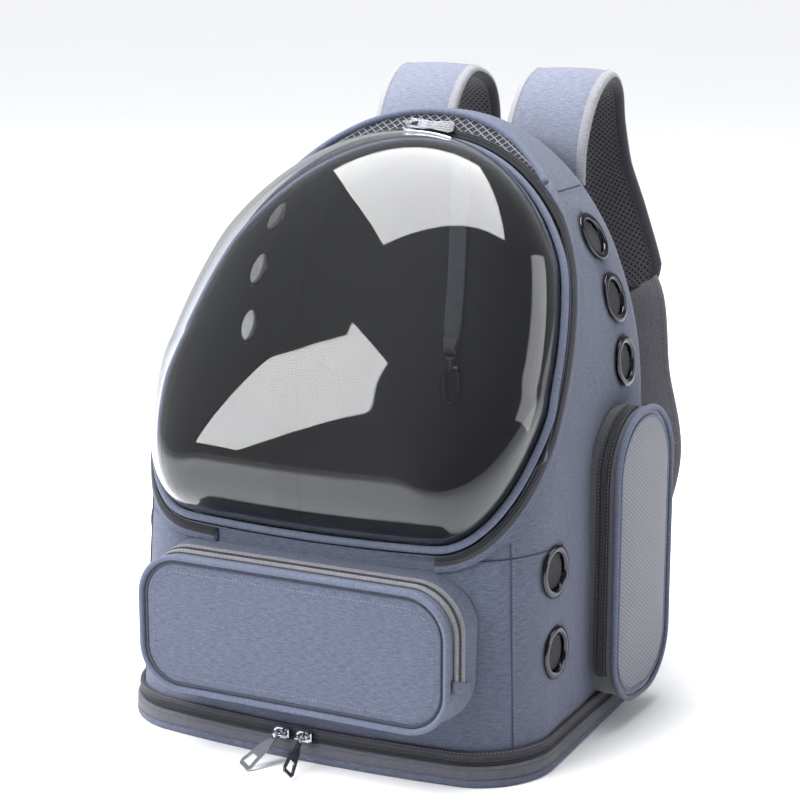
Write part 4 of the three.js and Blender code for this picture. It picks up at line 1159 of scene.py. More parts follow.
BASE_SECTION = [
    # height, how far out, material
    (0.0, 1.6, 0), (0.3, 3.0, 0), (1.2, 3.9, 0), (2.6, 4.3, 0), (4.4, 4.2, 0), (5.4, 3.8, 0), (5.8, 3.2, 1),
    (6.2, 3.8, 2), (6.8, 4.3, 2), (13.8, 4.3, 2), (14.7, 4.0, 2), (15.0, 3.2, 2), (15.0, 0.6, 2),
    (14.6, -2.6, 3), (4.4, -3.2, 3), (4.0, -4.0, 3)]
BASE_COILS, BASE_COIL_PITCH, BASE_COIL_SIZE, BASE_TAPE_LEVEL = (18.4, 20.2), 1.5, (1.05, 2.4, 1.3), 12.9


def base_piece():
    rows = [level_path(z, grow) for z, grow, _ in BASE_SECTION]
    inner, under = rows[-1], rows[0]
    for scale in (0.66, 0.33, 0.001):
        rows.append(inner * (scale, scale, 1))
    for scale in (0.001, 0.33, 0.66):
        rows.append(under * (scale, scale, 1))
    points, faces, uvs = grid(np.array(rows), True, True)
    pieces = [piece for _, _, piece in BASE_SECTION] + [3] * 6
    indices = [pieces[k // len(inner)] for k in range(len(faces))]
    materials = [heather, dark_binding, base_tape, lining]
    return flat_uvs(tidy_mesh(make_mesh("base_edge", points, faces, uvs, materials, indices), 0.0003))


finish_piece(base_piece(), "heather_fabric", replaces=["base_tray"])
print("base section points:", len(BASE_SECTION))

# %% [markdown]
# The zip that lets the floor out runs round the front and both sides. Its tapes, the cord
# under the coil and its two rows of teeth follow the cabin's outline at their own levels.

# %% Base zip
def wrapped(name, section, material, replaces=()):
    rows = [level_path(z, grow, LEVEL_POINTS, BODY_BACK - BACK_ROUNDING) for z, grow in section]
    return closed_strip(name, np.array(rows), material, "dark_tape", replaces)


def level_normal(path):
    return unit(np.cross(np.gradient(path, axis=0), (0, 0, -1.0)))


wrapped("base_zip_tape_lower", [(15.3, 0.3), (15.3, 2.6), (17.6, 2.5), (17.8, 0.3)], dark_tape,
        ["base_zip"])
wrapped("base_zip_cord", [(17.4, 0.3), (17.4, 1.6), (21.2, 1.6), (21.2, 0.3)], dark_binding)
wrapped("base_zip_tape_upper", [(20.9, 0.3), (21.0, 2.6), (21.6, 3.3), (24.0, 2.9), (24.4, 1.6), (24.4, 0.3)],
        dark_binding)
base_coil = []
for z in BASE_COILS:
    path = level_path(z, 2.0, 300, BODY_BACK - BACK_ROUNDING)
    normal = level_normal(path)
    normal *= np.sign((normal * (path - (0, 0, z))).sum(1))[:, None]
    base_coil.append((path, normal))
set_along("base_zip_coil", base_coil, BASE_COIL_PITCH, BASE_COIL_SIZE, coil_nylon, "black_plastic")
base_stitches = [(p + (0, 0, 4.0) + n, n) for p, n in base_coil[1:]]
stitch("base_stitches", base_stitches, "base")
tape_path = level_path(BASE_TAPE_LEVEL, 4.45, 300)
stitch("base_tape_stitches", [(tape_path, level_normal(tape_path))], "tape", dark_thread, "dark_tape")

# %% [markdown]
# ## Eyelets
# Each air hole is a turned metal eyelet pressed through the cloth: a rounded collar outside,
# a sleeve through the wall, and a disc of net held between them.

# %% Eyelets
EYELET_SECTION = [
    # radius, height over the cloth
    (12.75, -3.0), (14.5, -3.0), (14.5, 0.55), (18.3, 0.55), (18.5, 0.8), (18.45, 1.2), (18.1, 1.65),
    (17.4, 2.1), (16.4, 2.35), (15.2, 2.4), (14.2, 2.2), (13.4, 1.75), (12.95, 1.2), (12.75, 0.6)]
EYELET_SIDES, NET_PITCH, NET_RADIUS = 72, 1.7, 12.6


def eyelet(word, middle, normal):
    first = np.cross((0, 1, 0), normal)
    first /= np.linalg.norm(first)
    second = np.cross(normal, first)
    turn = np.arange(EYELET_SIDES) / EYELET_SIDES * 2 * math.pi
    ring = np.cos(turn)[:, None] * first + np.sin(turn)[:, None] * second
    rows = np.array([middle + r * ring + h * normal for r, h in EYELET_SECTION])
    points, faces, uvs = grid(rows, True, True)
    obj = tidy_mesh(make_mesh("eyelet_" + word, points, faces, uvs, [gunmetal]), 0.00001)
    finish_piece(obj, "gunmetal", replaces=["vent_" + word])
    lines = []
    for a, b in ((first + second, first - second), (first - second, first + second)):
        a, b = a / math.sqrt(2), b / math.sqrt(2)
        for step in np.arange(-12.5, NET_RADIUS, NET_PITCH):
            reach = math.sqrt(max(NET_RADIUS**2 - step**2, 1))
            start = middle - 1.5 * normal + step * b
            lines.append((np.array([start - reach * a, start + reach * a]), normal))
    net = strands("eyelet_net_" + word, lines, 0.3, vent_net, "black_mesh")
    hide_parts("vent_net_" + word)


for word, seat in vent_seats.items():
    eyelet(word, *seat)
print("eyelets:", len(vent_seats))

# %% [markdown]
# ## Pockets
# A sewn box pocket is a face panel, a gusset round it and a piped seam where they meet. The
# face bellies a little, the gusset draws in towards the cabin, and a coil zip lies along it.
# One loft makes face and gusset; the piping and the zip follow the same outline.

# %% Pocket helpers
TAPE_FOOT, TAPE_TOP, POCKET_COIL_SIZE = 0.2, 1.2, (0.95, 2.4, 1.2)
FACE_SCALES = (0.001, 0.12, 0.24, 0.36, 0.48, 0.6, 0.71, 0.81, 0.89, 0.95, 0.985)


def pocket_outline(left, right, low, high, foot_radius, top_radius, corner=14, edge=26):
    """A rounded rectangle from the middle of its foot, once round."""
    middle = 0.5 * (left + right)
    corners = [(right - foot_radius, low + foot_radius, foot_radius, -90),
               (right - top_radius, high - top_radius, top_radius, 0),
               (left + top_radius, high - top_radius, top_radius, 90),
               (left + foot_radius, low + foot_radius, foot_radius, 180)]
    points = [(middle, low)]
    for x, z, radius, start in corners:
        before = np.array(points[-1])
        turns = np.radians(np.linspace(start, start + 90, corner))
        arc = np.stack([x + radius * np.cos(turns), z + radius * np.sin(turns)], -1)
        points += [tuple(before + (arc[0] - before) * share) for share in np.linspace(0, 1, edge)[1:-1]]
        points += [tuple(p) for p in arc]
    last = np.array(points[-1])
    home = np.array([middle, low]) - last
    points += [tuple(last + home * share) for share in np.linspace(0, 1, edge)[1:-1]]
    return np.array(points)


def pocket_piece(name, outline, place, meets, edge, crown, materials, slot, replaces, gathers=0.0):
    """Face, rounded edge and gusset; meets gives the cabin's depth behind an outline point."""
    face = outline(edge, 0)
    middle = 0.5 * (face.max(0) + face.min(0))
    rows, pieces = [], []
    for scale in FACE_SCALES:
        ring = middle + scale * (face - middle)
        belly = crown * (1 - scale**2) ** 0.75
        rows.append(place(ring, -belly))
        pieces.append(0)
    for turn in np.linspace(0, math.pi / 2, 7):
        rows.append(place(outline(edge * (1 - math.sin(turn)), edge * (1 - math.cos(turn))),
                          edge * (1 - math.cos(turn))))
        pieces.append(0 if turn < 1.0 else 1)
    ring = outline(0, edge)
    deep = meets(ring)
    for share in np.linspace(0, 1, 11)[1:]:
        back = edge + share * (deep - edge)
        sag = gathers * math.sin(share * math.pi)
        rows.append(place(outline(sag, float(back.mean())), back))
        pieces.append(1)
    points, faces, uvs = grid(np.array(rows), False, True)
    indices = [pieces[k // len(face)] for k in range(len(faces))]
    obj = flat_uvs(tidy_mesh(make_mesh(name, points, faces, uvs, materials, indices), 0.0002))
    return finish_piece(obj, slot, replaces=replaces)


def gusset_zip(name, outline, place, near, far, keep, tape, replaces):
    """Tapes and coil along a gusset; keep says which outline points the zip covers."""
    at = np.flatnonzero(keep(outline(0, near)))

    def tape_rows(start, end, height):
        top = [place(outline(-height, b), b)[at] for b in np.linspace(start, end, 4)]
        under = [place(outline(-TAPE_FOOT, b), b)[at] for b in np.linspace(end, start, 4)]
        return np.array(top + under)

    def facing_lines(backs, height):
        lines = []
        for back in backs:
            path, higher = [place(outline(-h, back), back)[at] for h in (height, 2.1)]
            lines.append((path, higher - path))
        return lines

    half = 0.5 * (near + far)
    closed_strip(name + "_tape_front", tape_rows(near, half - 1.6, TAPE_TOP), tape, "dark_tape", replaces)
    closed_strip(name + "_tape_back", tape_rows(half + 1.6, far, TAPE_TOP), tape, "dark_tape")
    closed_strip(name + "_cord", tape_rows(half - 1.7, half + 1.7, 0.7), dark_binding, "dark_tape")
    set_along(name + "_coil", facing_lines((half - 0.9, half + 0.9), 1.1), COIL_PITCH,
              POCKET_COIL_SIZE, coil_nylon, "black_plastic")
    stitch(name + "_stitches", facing_lines((near + 1.0, far - 1.0), 1.35), "fine")


print("pocket helpers ready")

# %% [markdown]
# The front pocket lies across the foot of the cabin. It is the loft above with its own outline, a piped front
# edge, a thin dark strand inside the piping that paints the shadow line between piping and face, a row of
# stitches in its face, and a zip over its top and down its right side that ends under a slanted tab.

# %% Front pocket
POCKET_HALF, POCKET_SHIFT, POCKET_FLOOR, POCKET_TOP = 118.0, 3.0, 45.0, 141.0
POCKET_FACE, POCKET_CORNER, POCKET_FLARE, POCKET_EDGE = 160.0, 30.0, 5.0, 5.0
POCKET_PIPING, POCKET_ZIP_LEVEL, POCKET_CROWN, POCKET_GATHERS = 2.2, 76.0, 2.5, 0.8
# Rise and lift of the tab's section; a reach along the zip; its slant.
TAB_SECTION = ((-4.5, 0.1), (-4.5, 1.4), (-3.8, 1.75), (3.8, 1.75), (4.5, 1.4), (4.5, 0.1))
TAB_FROM, TAB_TO, TAB_SLANT = 5.5, 25.0, 0.35


def front_outline(inset, back):
    flare = POCKET_FLARE * min(back / (POCKET_FACE - BODY_FRONT), 1) - inset
    half, radius = POCKET_HALF + flare, POCKET_CORNER + flare
    return pocket_outline(-half, half, POCKET_FLOOR - flare, POCKET_TOP + flare, radius, radius)


def front_place(ring, back):
    depth = np.broadcast_to(back, len(ring))
    return np.column_stack([ring[:, 0] + POCKET_SHIFT, depth - POCKET_FACE, ring[:, 1]])


def front_y(x, z):
    """The cabin's front face at a place, by halving towards it."""
    return halved(np.full(len(x), -170.0), np.full(len(x), -60.0),
                  lambda y: body_gap(np.column_stack([x, y, z])) > 0)


def front_meets(ring):
    return front_y(ring[:, 0] + POCKET_SHIFT, ring[:, 1]) + 0.8 + POCKET_FACE


pocket_piece("front_pocket_body", front_outline, front_place, front_meets, POCKET_EDGE, POCKET_CROWN,
             [heather, heather], "heather_fabric", ["front_pocket"], POCKET_GATHERS)
stand = (POCKET_EDGE + POCKET_PIPING + FIT) * math.sqrt(0.5)
piping_line = front_place(front_outline(POCKET_EDGE - stand, 0), POCKET_EDGE - stand)
front_piping = sweep("front_pocket_cord", piping_line, circle(POCKET_PIPING, 12), (0, 1, 0), [piping_cloth])
finish_piece(front_piping, "heather_fabric", replaces=["front_pocket_piping"])
# A thin dark strand inside the piping: painted shadow line between the piping and the face.
pocket_shade_line = front_place(front_outline(4.1, 0), -0.2)
pocket_shade_strand = sweep("front_pocket_shade_strand", pocket_shade_line, circle(0.6, 8), (0, 1, 0), [seam_shade_cloth])
finish_piece(pocket_shade_strand, "dark_tape")
gusset_zip("front_pocket_zip", front_outline, front_place, 8.0, 20.0,
           lambda ring: ring[:, 1] > POCKET_ZIP_LEVEL, grey_web, ["front_pocket_zip"])
tab_backs = np.linspace(TAB_FROM, TAB_TO, 8)
tab_rows = []
for rise, lift in TAB_SECTION:
    reach = POCKET_HALF + POCKET_FLARE * tab_backs / (POCKET_FACE - BODY_FRONT) + POCKET_SHIFT + lift
    level = POCKET_ZIP_LEVEL + rise - TAB_SLANT * (tab_backs - 14)
    tab_rows.append(np.column_stack([reach, tab_backs - POCKET_FACE, level]))
closed_strip("front_pocket_tab", np.array(tab_rows), heather, "heather_fabric")
face_stitches = front_place(front_outline(10.0, 0), -0.75)
stitch("front_pocket_stitches", [(np.vstack([face_stitches, face_stitches[:1]]), (0, -1, 0))], "face")

# %% [markdown]
# The side pockets are narrow and arched for a bottle. Their face is a pale twill in a bluish
# piped frame, and it stands further out at the back than at the front.

# %% Side pockets
SIDE_WIDTH, SIDE_FLOOR, SIDE_TOP, SIDE_MIDDLE = 95.0, 17.0, 232.0, 46.0
SIDE_FRONT, SIDE_SLANT, SIDE_TOP_RADIUS, SIDE_FOOT_RADIUS = 18.0, 6.0, 46.0, 40.0
SIDE_EDGE, SIDE_PIPING, SIDE_ZIP_FOOT, SIDE_CROWN = 5.0, 2.0, 40.0, 3.0


def side_outline(inset, _back):
    half = 0.5 * SIDE_WIDTH - inset
    return pocket_outline(SIDE_MIDDLE - half, SIDE_MIDDLE + half, SIDE_FLOOR + inset, SIDE_TOP - inset,
                          SIDE_FOOT_RADIUS - inset, SIDE_TOP_RADIUS - inset)


def side_face(y):
    return BODY_HALF + SIDE_FRONT + SIDE_SLANT * ((y - SIDE_MIDDLE) / SIDE_WIDTH + 0.5)


def side_pocket(word, side):
    def place(ring, back):
        depth = np.broadcast_to(back, len(ring))
        return np.column_stack([side * (side_face(ring[:, 0]) - depth), ring[:, 0], ring[:, 1]])

    def meets(ring):
        wall = arch_half(ring[:, 1]) * taper(ring[:, 0], ring[:, 1])
        return side_face(ring[:, 0]) - wall + 0.6

    name = "side_pocket_" + word
    pocket_piece(name + "_body", side_outline, place, meets, SIDE_EDGE, SIDE_CROWN,
                 [twill_face, grey_gusset], "grey_cloth", [name], POCKET_GATHERS)
    stand = (SIDE_EDGE + SIDE_PIPING + FIT) * math.sqrt(0.5)
    line = place(side_outline(SIDE_EDGE - stand, 0), SIDE_EDGE - stand)
    cord = sweep(name + "_cord", line, circle(SIDE_PIPING, 12), (1, 0, 0), [piping_cloth])
    finish_piece(cord, "heather_fabric", replaces=[name + "_piping"])
    frame_line = place(side_outline(6.2, 0), -0.25)
    band = sweep(name + "_frame", frame_line, circle(1.5, 10, 0.55), (1, 0, 0), [piping_cloth])
    finish_piece(band, "heather_fabric")
    gusset_zip(name + "_zip", side_outline, place, 6.0, 15.0,
               lambda ring: (ring[:, 0] < SIDE_MIDDLE) & (ring[:, 1] > SIDE_ZIP_FOOT),
               dark_tape, [name + "_zip"])


for word, side in SIDES:
    side_pocket(word, side)

# %% [markdown]
# ## Shoulder straps
# Each strap is a long pad: heather cloth outside, thick knitted air mesh against the back,
# and a folded binding sewn over both edges. It is one closed loft whose section is crowned
# outside, flat inside, and a step higher where the binding lies.

# %% Route and section of a strap
STRAP_THICK, STRAP_WIDE, STRAP_RISE, STRAP_ROOT, STRAP_LEAN = 12.0, 70.0, 78.0, 378.0, 38.0
PAD_BACK, TIP_LENGTH = 124.6, 15.0
STRAP_ROWS = np.array([
    # out, back, up, width, thickness
    (0.00, 0.00, 0.00, 0.96, 0.60), (0.00, 0.02, 0.42, 0.97, 0.90), (0.05, 0.26, 0.84, 0.97, 1.00),
    (0.10, 0.58, 1.00, 0.97, 1.00), (0.06, 0.88, 0.86, 0.97, 1.00), (0.05, 0.99, 0.50, 0.98, 1.00),
    (0.20, 1.00, 0.02, 1.00, 1.00), (0.56, 0.96, -0.48, 1.04, 1.00), (0.90, 0.90, -0.98, 1.08, 0.95),
    (1.00, 0.86, -1.20, 0.84, 0.60)])
WEB_ROWS = np.array([
    # out, back, up, width
    (1.28, 0.84, 0.00, 1.00), (1.57, 0.78, 0.26, 0.93), (2.02, 0.62, 0.52, 0.86), (1.96, 0.34, 0.74, 0.80),
    (1.96, 0.03, 0.90, 0.76), (1.94, 0.00, 1.00, 0.74)])
WEB_THICK, WEB_WIDE, WEB_FOOT, CURVE_STEPS = 2.0, 56.0, 58.0, 14
# Where a strap's root is from the middle, how far it leans out and how far back it reaches.
STRAPS = {"left": (-46.0, -STRAP_LEAN, 98.0), "right": (66.0, STRAP_LEAN, 76.0)}
# Rows of the route where a bar of close stitches lies, and its ends across the strap.
BARTACKS = ((7.3, -0.62, 0.05), (7.75, -0.62, 0.05), (8.9, -0.8, 0.8))
TIP_SHARES = (0.2, 0.4, 0.56, 0.7, 0.82, 0.91, 0.97, 1.0)


def curve_through(points, steps):
    """A centripetal Catmull-Rom curve through places, the same as the frame's straps use."""
    points = np.asarray(points, dtype=float)
    ends = np.vstack([2 * points[0] - points[1], points, 2 * points[-1] - points[-2]])
    rows = []
    for k in range(len(points) - 1):
        a, b, c, d = ends[k:k + 4]
        gaps = [max(np.linalg.norm(q - p), 1e-4) ** 0.5 for p, q in ((a, b), (b, c), (c, d))]
        first = ((b - a) / gaps[0] - (c - a) / (gaps[0] + gaps[1]) + (c - b) / gaps[1]) * gaps[1]
        second = ((c - b) / gaps[1] - (d - b) / (gaps[1] + gaps[2]) + (d - c) / gaps[2]) * gaps[1]
        for t in np.linspace(0, 1, steps, endpoint=False):
            rows.append(b + first * t + (-3 * b + 3 * c - 2 * first - second) * t**2
                        + (2 * b - 2 * c + first + second) * t**3)
    return np.vstack([rows, points[-1:]])


def strap_frames(path):
    along = unit(np.gradient(path, axis=0))
    across = unit(np.array([1.0, 0, 0]) - along[:, :1] * along)
    return along, across, np.cross(along, across)


def strap_section():
    """Width shares, height shares and material numbers of a pad's closed section."""
    outer = [(w, 0) for w in np.linspace(-0.80, 0.80, 21)]
    rows = [(-1.0, 0.0, 1), (-0.99, -0.34, 1), (-0.95, -0.60, 1), (-0.88, -0.74, 1), (-0.815, -0.84, 1),
            (-0.81, -0.76, 0)]
    rows += [(w, -0.76 - 0.24 * (1 - (w / 0.8) ** 2) ** 0.7, 0) for w, _ in outer]
    rows += [(0.81, -0.76, 0), (0.815, -0.84, 1), (0.88, -0.74, 1), (0.95, -0.60, 1), (0.99, -0.34, 1),
             (1.0, 0.0, 2), (0.99, 0.34, 2), (0.95, 0.60, 2), (0.87, 0.80, 2), (0.80, 0.86, 2),
             (0.795, 0.74, 3)]
    rows += [(w, 0.74 + 0.12 * (1 - (w / 0.78) ** 2) ** 0.6, 3) for w in np.linspace(0.78, -0.78, 19)]
    rows += [(-0.795, 0.74, 2), (-0.80, 0.86, 2), (-0.87, 0.80, 2), (-0.95, 0.60, 2), (-0.99, 0.34, 2)]
    return rows


print("strap section points:", len(strap_section()))

# %% [markdown]
# A strap stands up from the back panel, turns over in an arch and comes down again to a
# blunt, rounded end. A cloth simulation would round away its bound edges, so its section is
# carried along the route instead, and narrowed in short steps at the end.

# %% Shoulder straps
def strap(word, root, lean, reach):
    out, back, up, width, thick = STRAP_ROWS.T
    places = np.column_stack([root + lean * out, PAD_BACK + 0.5 * STRAP_THICK * thick + reach * back,
                              STRAP_ROOT + STRAP_RISE * up])
    steps = CURVE_STEPS
    path = curve_through(places, steps)
    at = np.linspace(0, len(places) - 1, len(path))
    wide = np.interp(at, range(len(width)), width) * STRAP_WIDE / 2
    deep = np.interp(at, range(len(thick)), thick) * STRAP_THICK / 2
    along, across, high = strap_frames(path)
    ending = np.clip((np.arange(len(path)) - (len(path) - 1 - steps)) / steps, 0, 1)
    wide = wide * (1 - 0.16 * ending**3)
    quilt = 1 + 0.03 * np.sin(np.linspace(0, 46, len(path)))
    section = strap_section()
    rows = [path + (w * wide)[:, None] * across
            + (h * deep * (quilt if k in (0, 3) else 1))[:, None] * high for w, h, k in section]
    rows = np.array(rows).transpose(1, 0, 2)
    for share in TIP_SHARES:
        tip = TIP_LENGTH * share
        narrow = max((1 - share**2.6) ** (1 / 2.6), 0.32)
        thin = max((1 - share**3) ** (1 / 3), 0.2)
        rows = np.vstack([rows, [[path[-1] + tip * along[-1] + w * wide[-1] * narrow * across[-1]
                                  + h * deep[-1] * thin * high[-1] for w, h, _ in section]]])
    points, faces, uvs = grid(rows, False, True)
    indices = [section[k % len(section)][2] for k in range(len(faces))]
    faces += [tuple(range(len(section)))]
    uvs += [(0, 0)] * len(section)
    name = "shoulder_strap_" + word
    # Outer face: the heather painted paler, painted light for the overhead light on the straps.
    materials = [strap_cloth_painted_lighter, binding, dark_binding, air_mesh]
    obj = make_mesh(name + "_pad", points, faces, uvs, materials, indices + [0])
    finish_piece(tidy_mesh(obj, 0.0001), "heather_fabric", replaces=[name])
    lines = []
    for side in (-1, 1):
        for w, h, lift in ((0.835, -0.86, -0.12), (0.825, 0.87, 0.12)):
            line = path + (side * w * wide)[:, None] * across + (h * deep + lift)[:, None] * high
            lines.append((line[4:-2], np.sign(lift) * high[4:-2]))
    stitch(name + "_stitches", lines, "strap")
    bars = []
    for row, start, end in BARTACKS:
        k = int(row * steps)
        for step in np.linspace(-1.6, 1.6, 5):
            ends = [path[k] + step * along[k] + w * wide[k] * across[k] + (0.86 * deep[k] + 0.4) * high[k]
                    for w in np.linspace(start, end, 9)]
            bars.append((np.array(ends), high[k]))
    stitch(name + "_bartacks", bars, "bar", dark_thread, "dark_tape")


for word, seat in STRAPS.items():
    strap(word, *seat)

# %% [markdown]
# Below each pad a wide flat webbing runs forward to the foot of the back. Webbing is woven
# flat with tight edges, so it is a thin strip with rounded sides and two rows of stitches.

# %% Webbing
def webbing(word, root, lean, reach):
    out, back, up, width = WEB_ROWS.T
    top = STRAP_ROOT - 1.2 * STRAP_RISE - 0.6
    places = np.column_stack([root + lean * out, PAD_BACK + 0.5 * WEB_THICK + reach * back,
                              top + (WEB_FOOT - top) * up])
    under_pad = (root + lean, PAD_BACK + 0.5 * STRAP_THICK * 0.6 + reach * 0.86, top + 4)
    places = np.vstack([under_pad, places])
    width = np.concatenate([[0.98], width])
    path = curve_through(places, CURVE_STEPS)
    at = np.linspace(0, len(width) - 1, len(path))
    wide = np.interp(at, range(len(width)), width) * WEB_WIDE / 2
    along, across, high = strap_frames(path)
    section = [(-1, 0), (-0.985, -0.35)] + [(w, -0.5) for w in np.linspace(-0.95, 0.95, 11)]
    section += [(0.985, -0.35), (1, 0), (0.985, 0.35)] + [(w, 0.5) for w in np.linspace(0.95, -0.95, 11)]
    section += [(-0.985, 0.35)]
    rows = np.array([path + (w * wide)[:, None] * across + h * WEB_THICK * high for w, h in section])
    name = "strap_webbing_" + word
    closed_strip(name + "_band", rows, grey_web, "dark_tape", replaces=[name])
    lift = 0.5 * WEB_THICK + 0.1
    lines = [(path + (side * 0.86 * wide)[:, None] * across + face * lift * high, face * high)
             for side in (-1, 1) for face in (-1, 1)]
    stitch(name + "_stitches", lines, "webbing", dark_thread, "dark_tape")


for word, seat in STRAPS.items():
    webbing(word, *seat)
print("webbing laid")

# %% [markdown]
# ## Back panel
# The back is a foam pad sewn to the cabin. Foam under cloth swells between its seams, so the
# pad is inflated by a short cloth simulation from a slightly smaller copy of the frame's
# panel, with every point kept within a few millimetres of where it began.

# %% Back pad
PAD_SWELL, PAD_FRAMES, PAD_VOXEL, PAD_PRESSURE, PAD_STIFFNESS, PAD_PROUD = 5.0, 20, 5.0, 4.0, 18, 3.5
PAD_SHARE, PAD_SHIFT = (0.985, 0.80, 0.988), (0, -0.0008, 0)


def merged_copy(name, node):
    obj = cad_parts[node].copy()
    obj.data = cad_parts[node].data.copy()
    obj.name = name
    bpy.context.scene.collection.objects.link(obj)
    obj.data.materials.clear()
    return tidy_mesh(obj, 0.0001, False)


def apply_modifiers(obj):
    shaped = obj.evaluated_get(bpy.context.evaluated_depsgraph_get())
    mesh = bpy.data.meshes.new_from_object(shaped)
    obj.modifiers.clear()
    old, obj.data = obj.data, mesh
    bpy.data.meshes.remove(old)
    return obj


def back_pad():
    obj = merged_copy("back_pad", "back_panel")
    place = np.array([v.co for v in obj.data.vertices])
    middle = 0.5 * (place.max(0) + place.min(0))
    place = middle + (place - middle) * PAD_SHARE + PAD_SHIFT
    obj.data.vertices.foreach_set("co", place.ravel())
    remesh = obj.modifiers.new("remesh", "REMESH")
    remesh.mode, remesh.voxel_size = "VOXEL", PAD_VOXEL * MM
    bpy.context.view_layer.update()
    apply_modifiers(obj)
    start = np.array([v.co for v in obj.data.vertices])
    cloth_sim = obj.modifiers.new("swell", "CLOTH")
    settings = cloth_sim.settings
    settings.use_pressure, settings.uniform_pressure_force = True, PAD_PRESSURE
    settings.effector_weights.gravity = 0.0
    settings.tension_stiffness = settings.compression_stiffness = PAD_STIFFNESS
    cloth_sim.point_cache.frame_start, cloth_sim.point_cache.frame_end = 1, PAD_FRAMES
    for step in range(1, PAD_FRAMES + 1):
        bpy.context.scene.frame_set(step)
    apply_modifiers(obj)
    bpy.context.scene.frame_set(1)
    moved = np.array([v.co for v in obj.data.vertices]) - start
    far = np.linalg.norm(moved, axis=1)
    limit = np.minimum(1, PAD_SWELL * MM / np.maximum(far, 1e-9))
    kept = start + moved * limit[:, None]
    kept[:, 1] = np.maximum(kept[:, 1], (BODY_BACK + 0.3) * MM)
    kept[:, 1] = np.minimum(kept[:, 1], (PAD_BACK + PAD_PROUD) * MM)
    obj.data.vertices.foreach_set("co", kept.ravel())
    obj.data.materials.append(pad_mesh)
    subdivide = obj.modifiers.new("fine", "SUBSURF")
    subdivide.levels = subdivide.render_levels = 1
    bpy.context.view_layer.update()
    apply_modifiers(obj)
    obj.data.polygons.foreach_set("use_smooth", [True] * len(obj.data.polygons))
    finish_piece(obj, "heather_fabric", replaces=["back_panel"])
    return obj


def object_cloth(name, light, dark):
    """Cloth for a remeshed pad: the weave reads places instead of texture coordinates."""
    material = cloth(name, light, dark, pitch=0.0012)
    tree = material.node_tree
    place = next(node for node in tree.nodes if node.type == "TEX_COORD")
    turned = tree.nodes.new("ShaderNodeMapping")
    turned.inputs["Rotation"].default_value = (math.pi / 2, 0, 0)
    tree.links.new(place.outputs["Object"], turned.inputs["Vector"])
    for node in tree.nodes:
        if node.type == "GROUP" and node.node_tree == WEAVE:
            tree.links.new(turned.outputs[0], node.inputs["Vector"])
    return material


pad_mesh = object_cloth("back_pad_cloth", (0.15, 0.16, 0.20), (0.07, 0.075, 0.10))
pad = back_pad()
print("back pad:", len(pad.data.polygons), "faces")

# %% [markdown]
# ## Leash and small metal
# Inside hangs a short flat leash with a snap hook, which keeps the animal in. The hook, the
# sliders and the pulls are rigid and already have the right shape in the frame, so they only
# get real metal and moulded plastic.

# %% Leash and hardware
LEASH_TOP, LEASH_END, LEASH_SHIFT, LEASH_WIDE, LEASH_THICK = 404.0, 248.0, 8.0, 15.0, 1.5
LEASH_BACK = BODY_BACK - WALL - FIT


def leash():
    places = [(LEASH_SHIFT, LEASH_BACK - 0.8, LEASH_TOP), (0.7 * LEASH_SHIFT, LEASH_BACK - 1.6, 360.0),
              (0.4 * LEASH_SHIFT, LEASH_BACK - 1.4, 300.0), (0, LEASH_BACK - 1.0, LEASH_END + 14),
              (0, LEASH_BACK - 1.2, LEASH_END + 6), (0, LEASH_BACK - 3.6, LEASH_END - 2.6),
              (0, LEASH_BACK - 6.2, LEASH_END + 1), (0, LEASH_BACK - 3.8, LEASH_END + 9)]
    path = curve_through(places, 10)
    wide = np.interp(path[:, 2], [LEASH_END + 4, LEASH_END + 16], [5.4, LEASH_WIDE / 2])
    _, across, high = strap_frames(path)
    section = [(-1, 0), (-0.96, -0.4), (-0.8, -0.5), (0, -0.5), (0.8, -0.5), (0.96, -0.4),
               (1, 0), (0.96, 0.4), (0.8, 0.5), (0, 0.5), (-0.8, 0.5), (-0.96, 0.4)]
    rows = np.array([path + (w * wide)[:, None] * across + h * LEASH_THICK * high for w, h in section])
    return closed_strip("leash_band", rows, leash_web, "dark_tape", replaces=["leash"])


leash()
HARDWARE = {
    chrome: ["base_slider_left", "base_slider_right", "base_pull_left", "base_pull_right",
             "window_slider", "window_pull"],
    black_plastic: ["snap_hook", "hook_gate"],
}
for material, names in HARDWARE.items():
    for name in names:
        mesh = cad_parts[name].data
        mesh.materials.clear()
        mesh.materials.append(material)
print("hardware pieces:", sum(len(names) for names in HARDWARE.values()))

# %% [markdown]
# ## Studio
# A pale floor and a soft surround. Three soft boxes show in the dome: one overhead in its
# crown, a tall one at the front left, and a strip on the right. They are what makes it read
# as clear plastic. A broad key from the front left and a high, wide sun give the cloth its
# shading and the floor its soft shadow, without showing as spots in the dome.

# %% Lights
def soft_box(name, middle, across, upward, power, shows=True):
    """A rectangular light; across and upward are its sides as directions with a length."""
    across, upward = Vector(across), Vector(upward)
    data = bpy.data.lights.new(name, "AREA")
    data.shape, data.size, data.size_y = "RECTANGLE", across.length, upward.length
    data.energy = power
    lamp = add_object(name, data)
    first = across.normalized()
    away = first.cross(upward).normalized()
    lamp.matrix_world = Matrix((first, away.cross(first), away)).transposed().to_4x4()
    lamp.location = middle
    lamp.visible_glossy = lamp.visible_transmission = shows
    return lamp


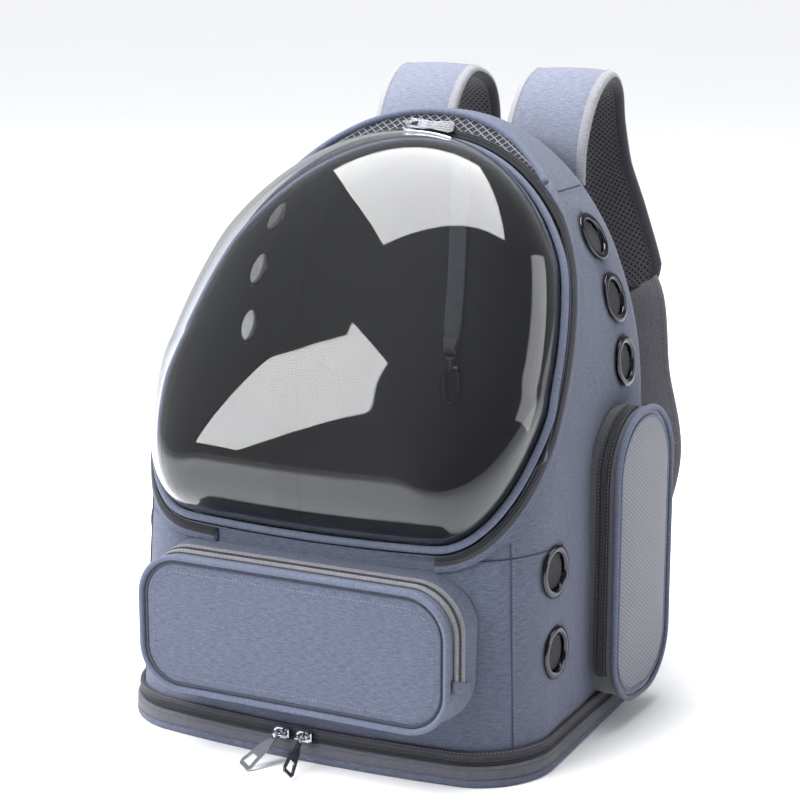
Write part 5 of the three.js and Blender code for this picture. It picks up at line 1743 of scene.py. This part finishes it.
soft_box("overhead_box", (-0.34, 0.26, 2.2), (1.55, 0.90, 0), (-0.75, 1.24, 0), 66)
soft_box("front_left_box", (-0.96, -1.45, 1.12), (0.355, -0.185, -0.09), (0.06, 0.835, 1.35), 17)
soft_box("right_strip", (1.14, 0.54, 0.73), (-0.1, 0.62, -0.42), (0.1, -0.25, 1.2), 7)
soft_box("broad_key", (-1.25, -1.95, 1.75), (1.0, -0.62, 0), (0.25, 0.42, 0.75), 46, False)
sun_data = bpy.data.lights.new("high_sun", "SUN")
sun_data.energy, sun_data.angle = 2.3, math.radians(38)
sun = add_object("high_sun", sun_data)
sun.rotation_euler = Vector((0.33, 0.20, -1.0)).to_track_quat("-Z", "Y").to_euler()
sun.visible_glossy = sun.visible_transmission = False
world = bpy.data.worlds.new("studio")
world.use_nodes = True
sky = world.node_tree
sky_place = sky.nodes.new("ShaderNodeTexCoord")
sky_side = smooth_step(sky, parts_of(sky, sky_place.outputs["Generated"])[0], -0.7, 0.9)
sky_colour = mixed(sky, sky_side, (0.58, 0.585, 0.60, 1), (0.20, 0.20, 0.21, 1))
sky.links.new(sky_colour, sky.nodes["Background"].inputs[0])
bpy.context.scene.world = world
bpy.context.scene.view_settings.view_transform = "Standard"
print("lights: 5")

# %% [markdown]
# The object stands on a seamless white sweep. One very large pale plane, a little mottled,
# takes the soft shadow and meets the surround far away, so no edge of it is ever in view.

# %% Floor
FLOOR_REACH = 90000
floor_corners = FLOOR_REACH * np.array([[-1.0, -1, 0], [1, -1, 0], [1, 1, 0], [-1, 1, 0]])
floor = make_mesh("floor", floor_corners, [(0, 1, 2, 3)])
floor_material, floor_tree, floor_shader, floor_place = new_material("floor", (0.9, 0.9, 0.91))
grain = noise(floor_tree, floor_place.outputs["Object"], 3, 3.0)
floor_tree.links.new(mixed(floor_tree, grain, (0.86, 0.865, 0.88, 1), (0.89, 0.895, 0.905, 1)),
                     floor_shader.inputs["Base Color"])
floor_shader.inputs["Roughness"].default_value = 0.7
floor.data.materials.append(floor_material)
floor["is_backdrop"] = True
print("floor laid")

# %% [markdown]
# The size of the finished model is measured, set beside that of the CAD model and printed.

# %% Sizes and end
low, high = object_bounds()
({"cad": [[float(v) for v in corner] for corner in cad_box],
           "visual": [[float(v) for v in corner] for corner in (low, high)]})
print("visual size:", [round(float(b - a), 4) for a, b in zip(low, high)])
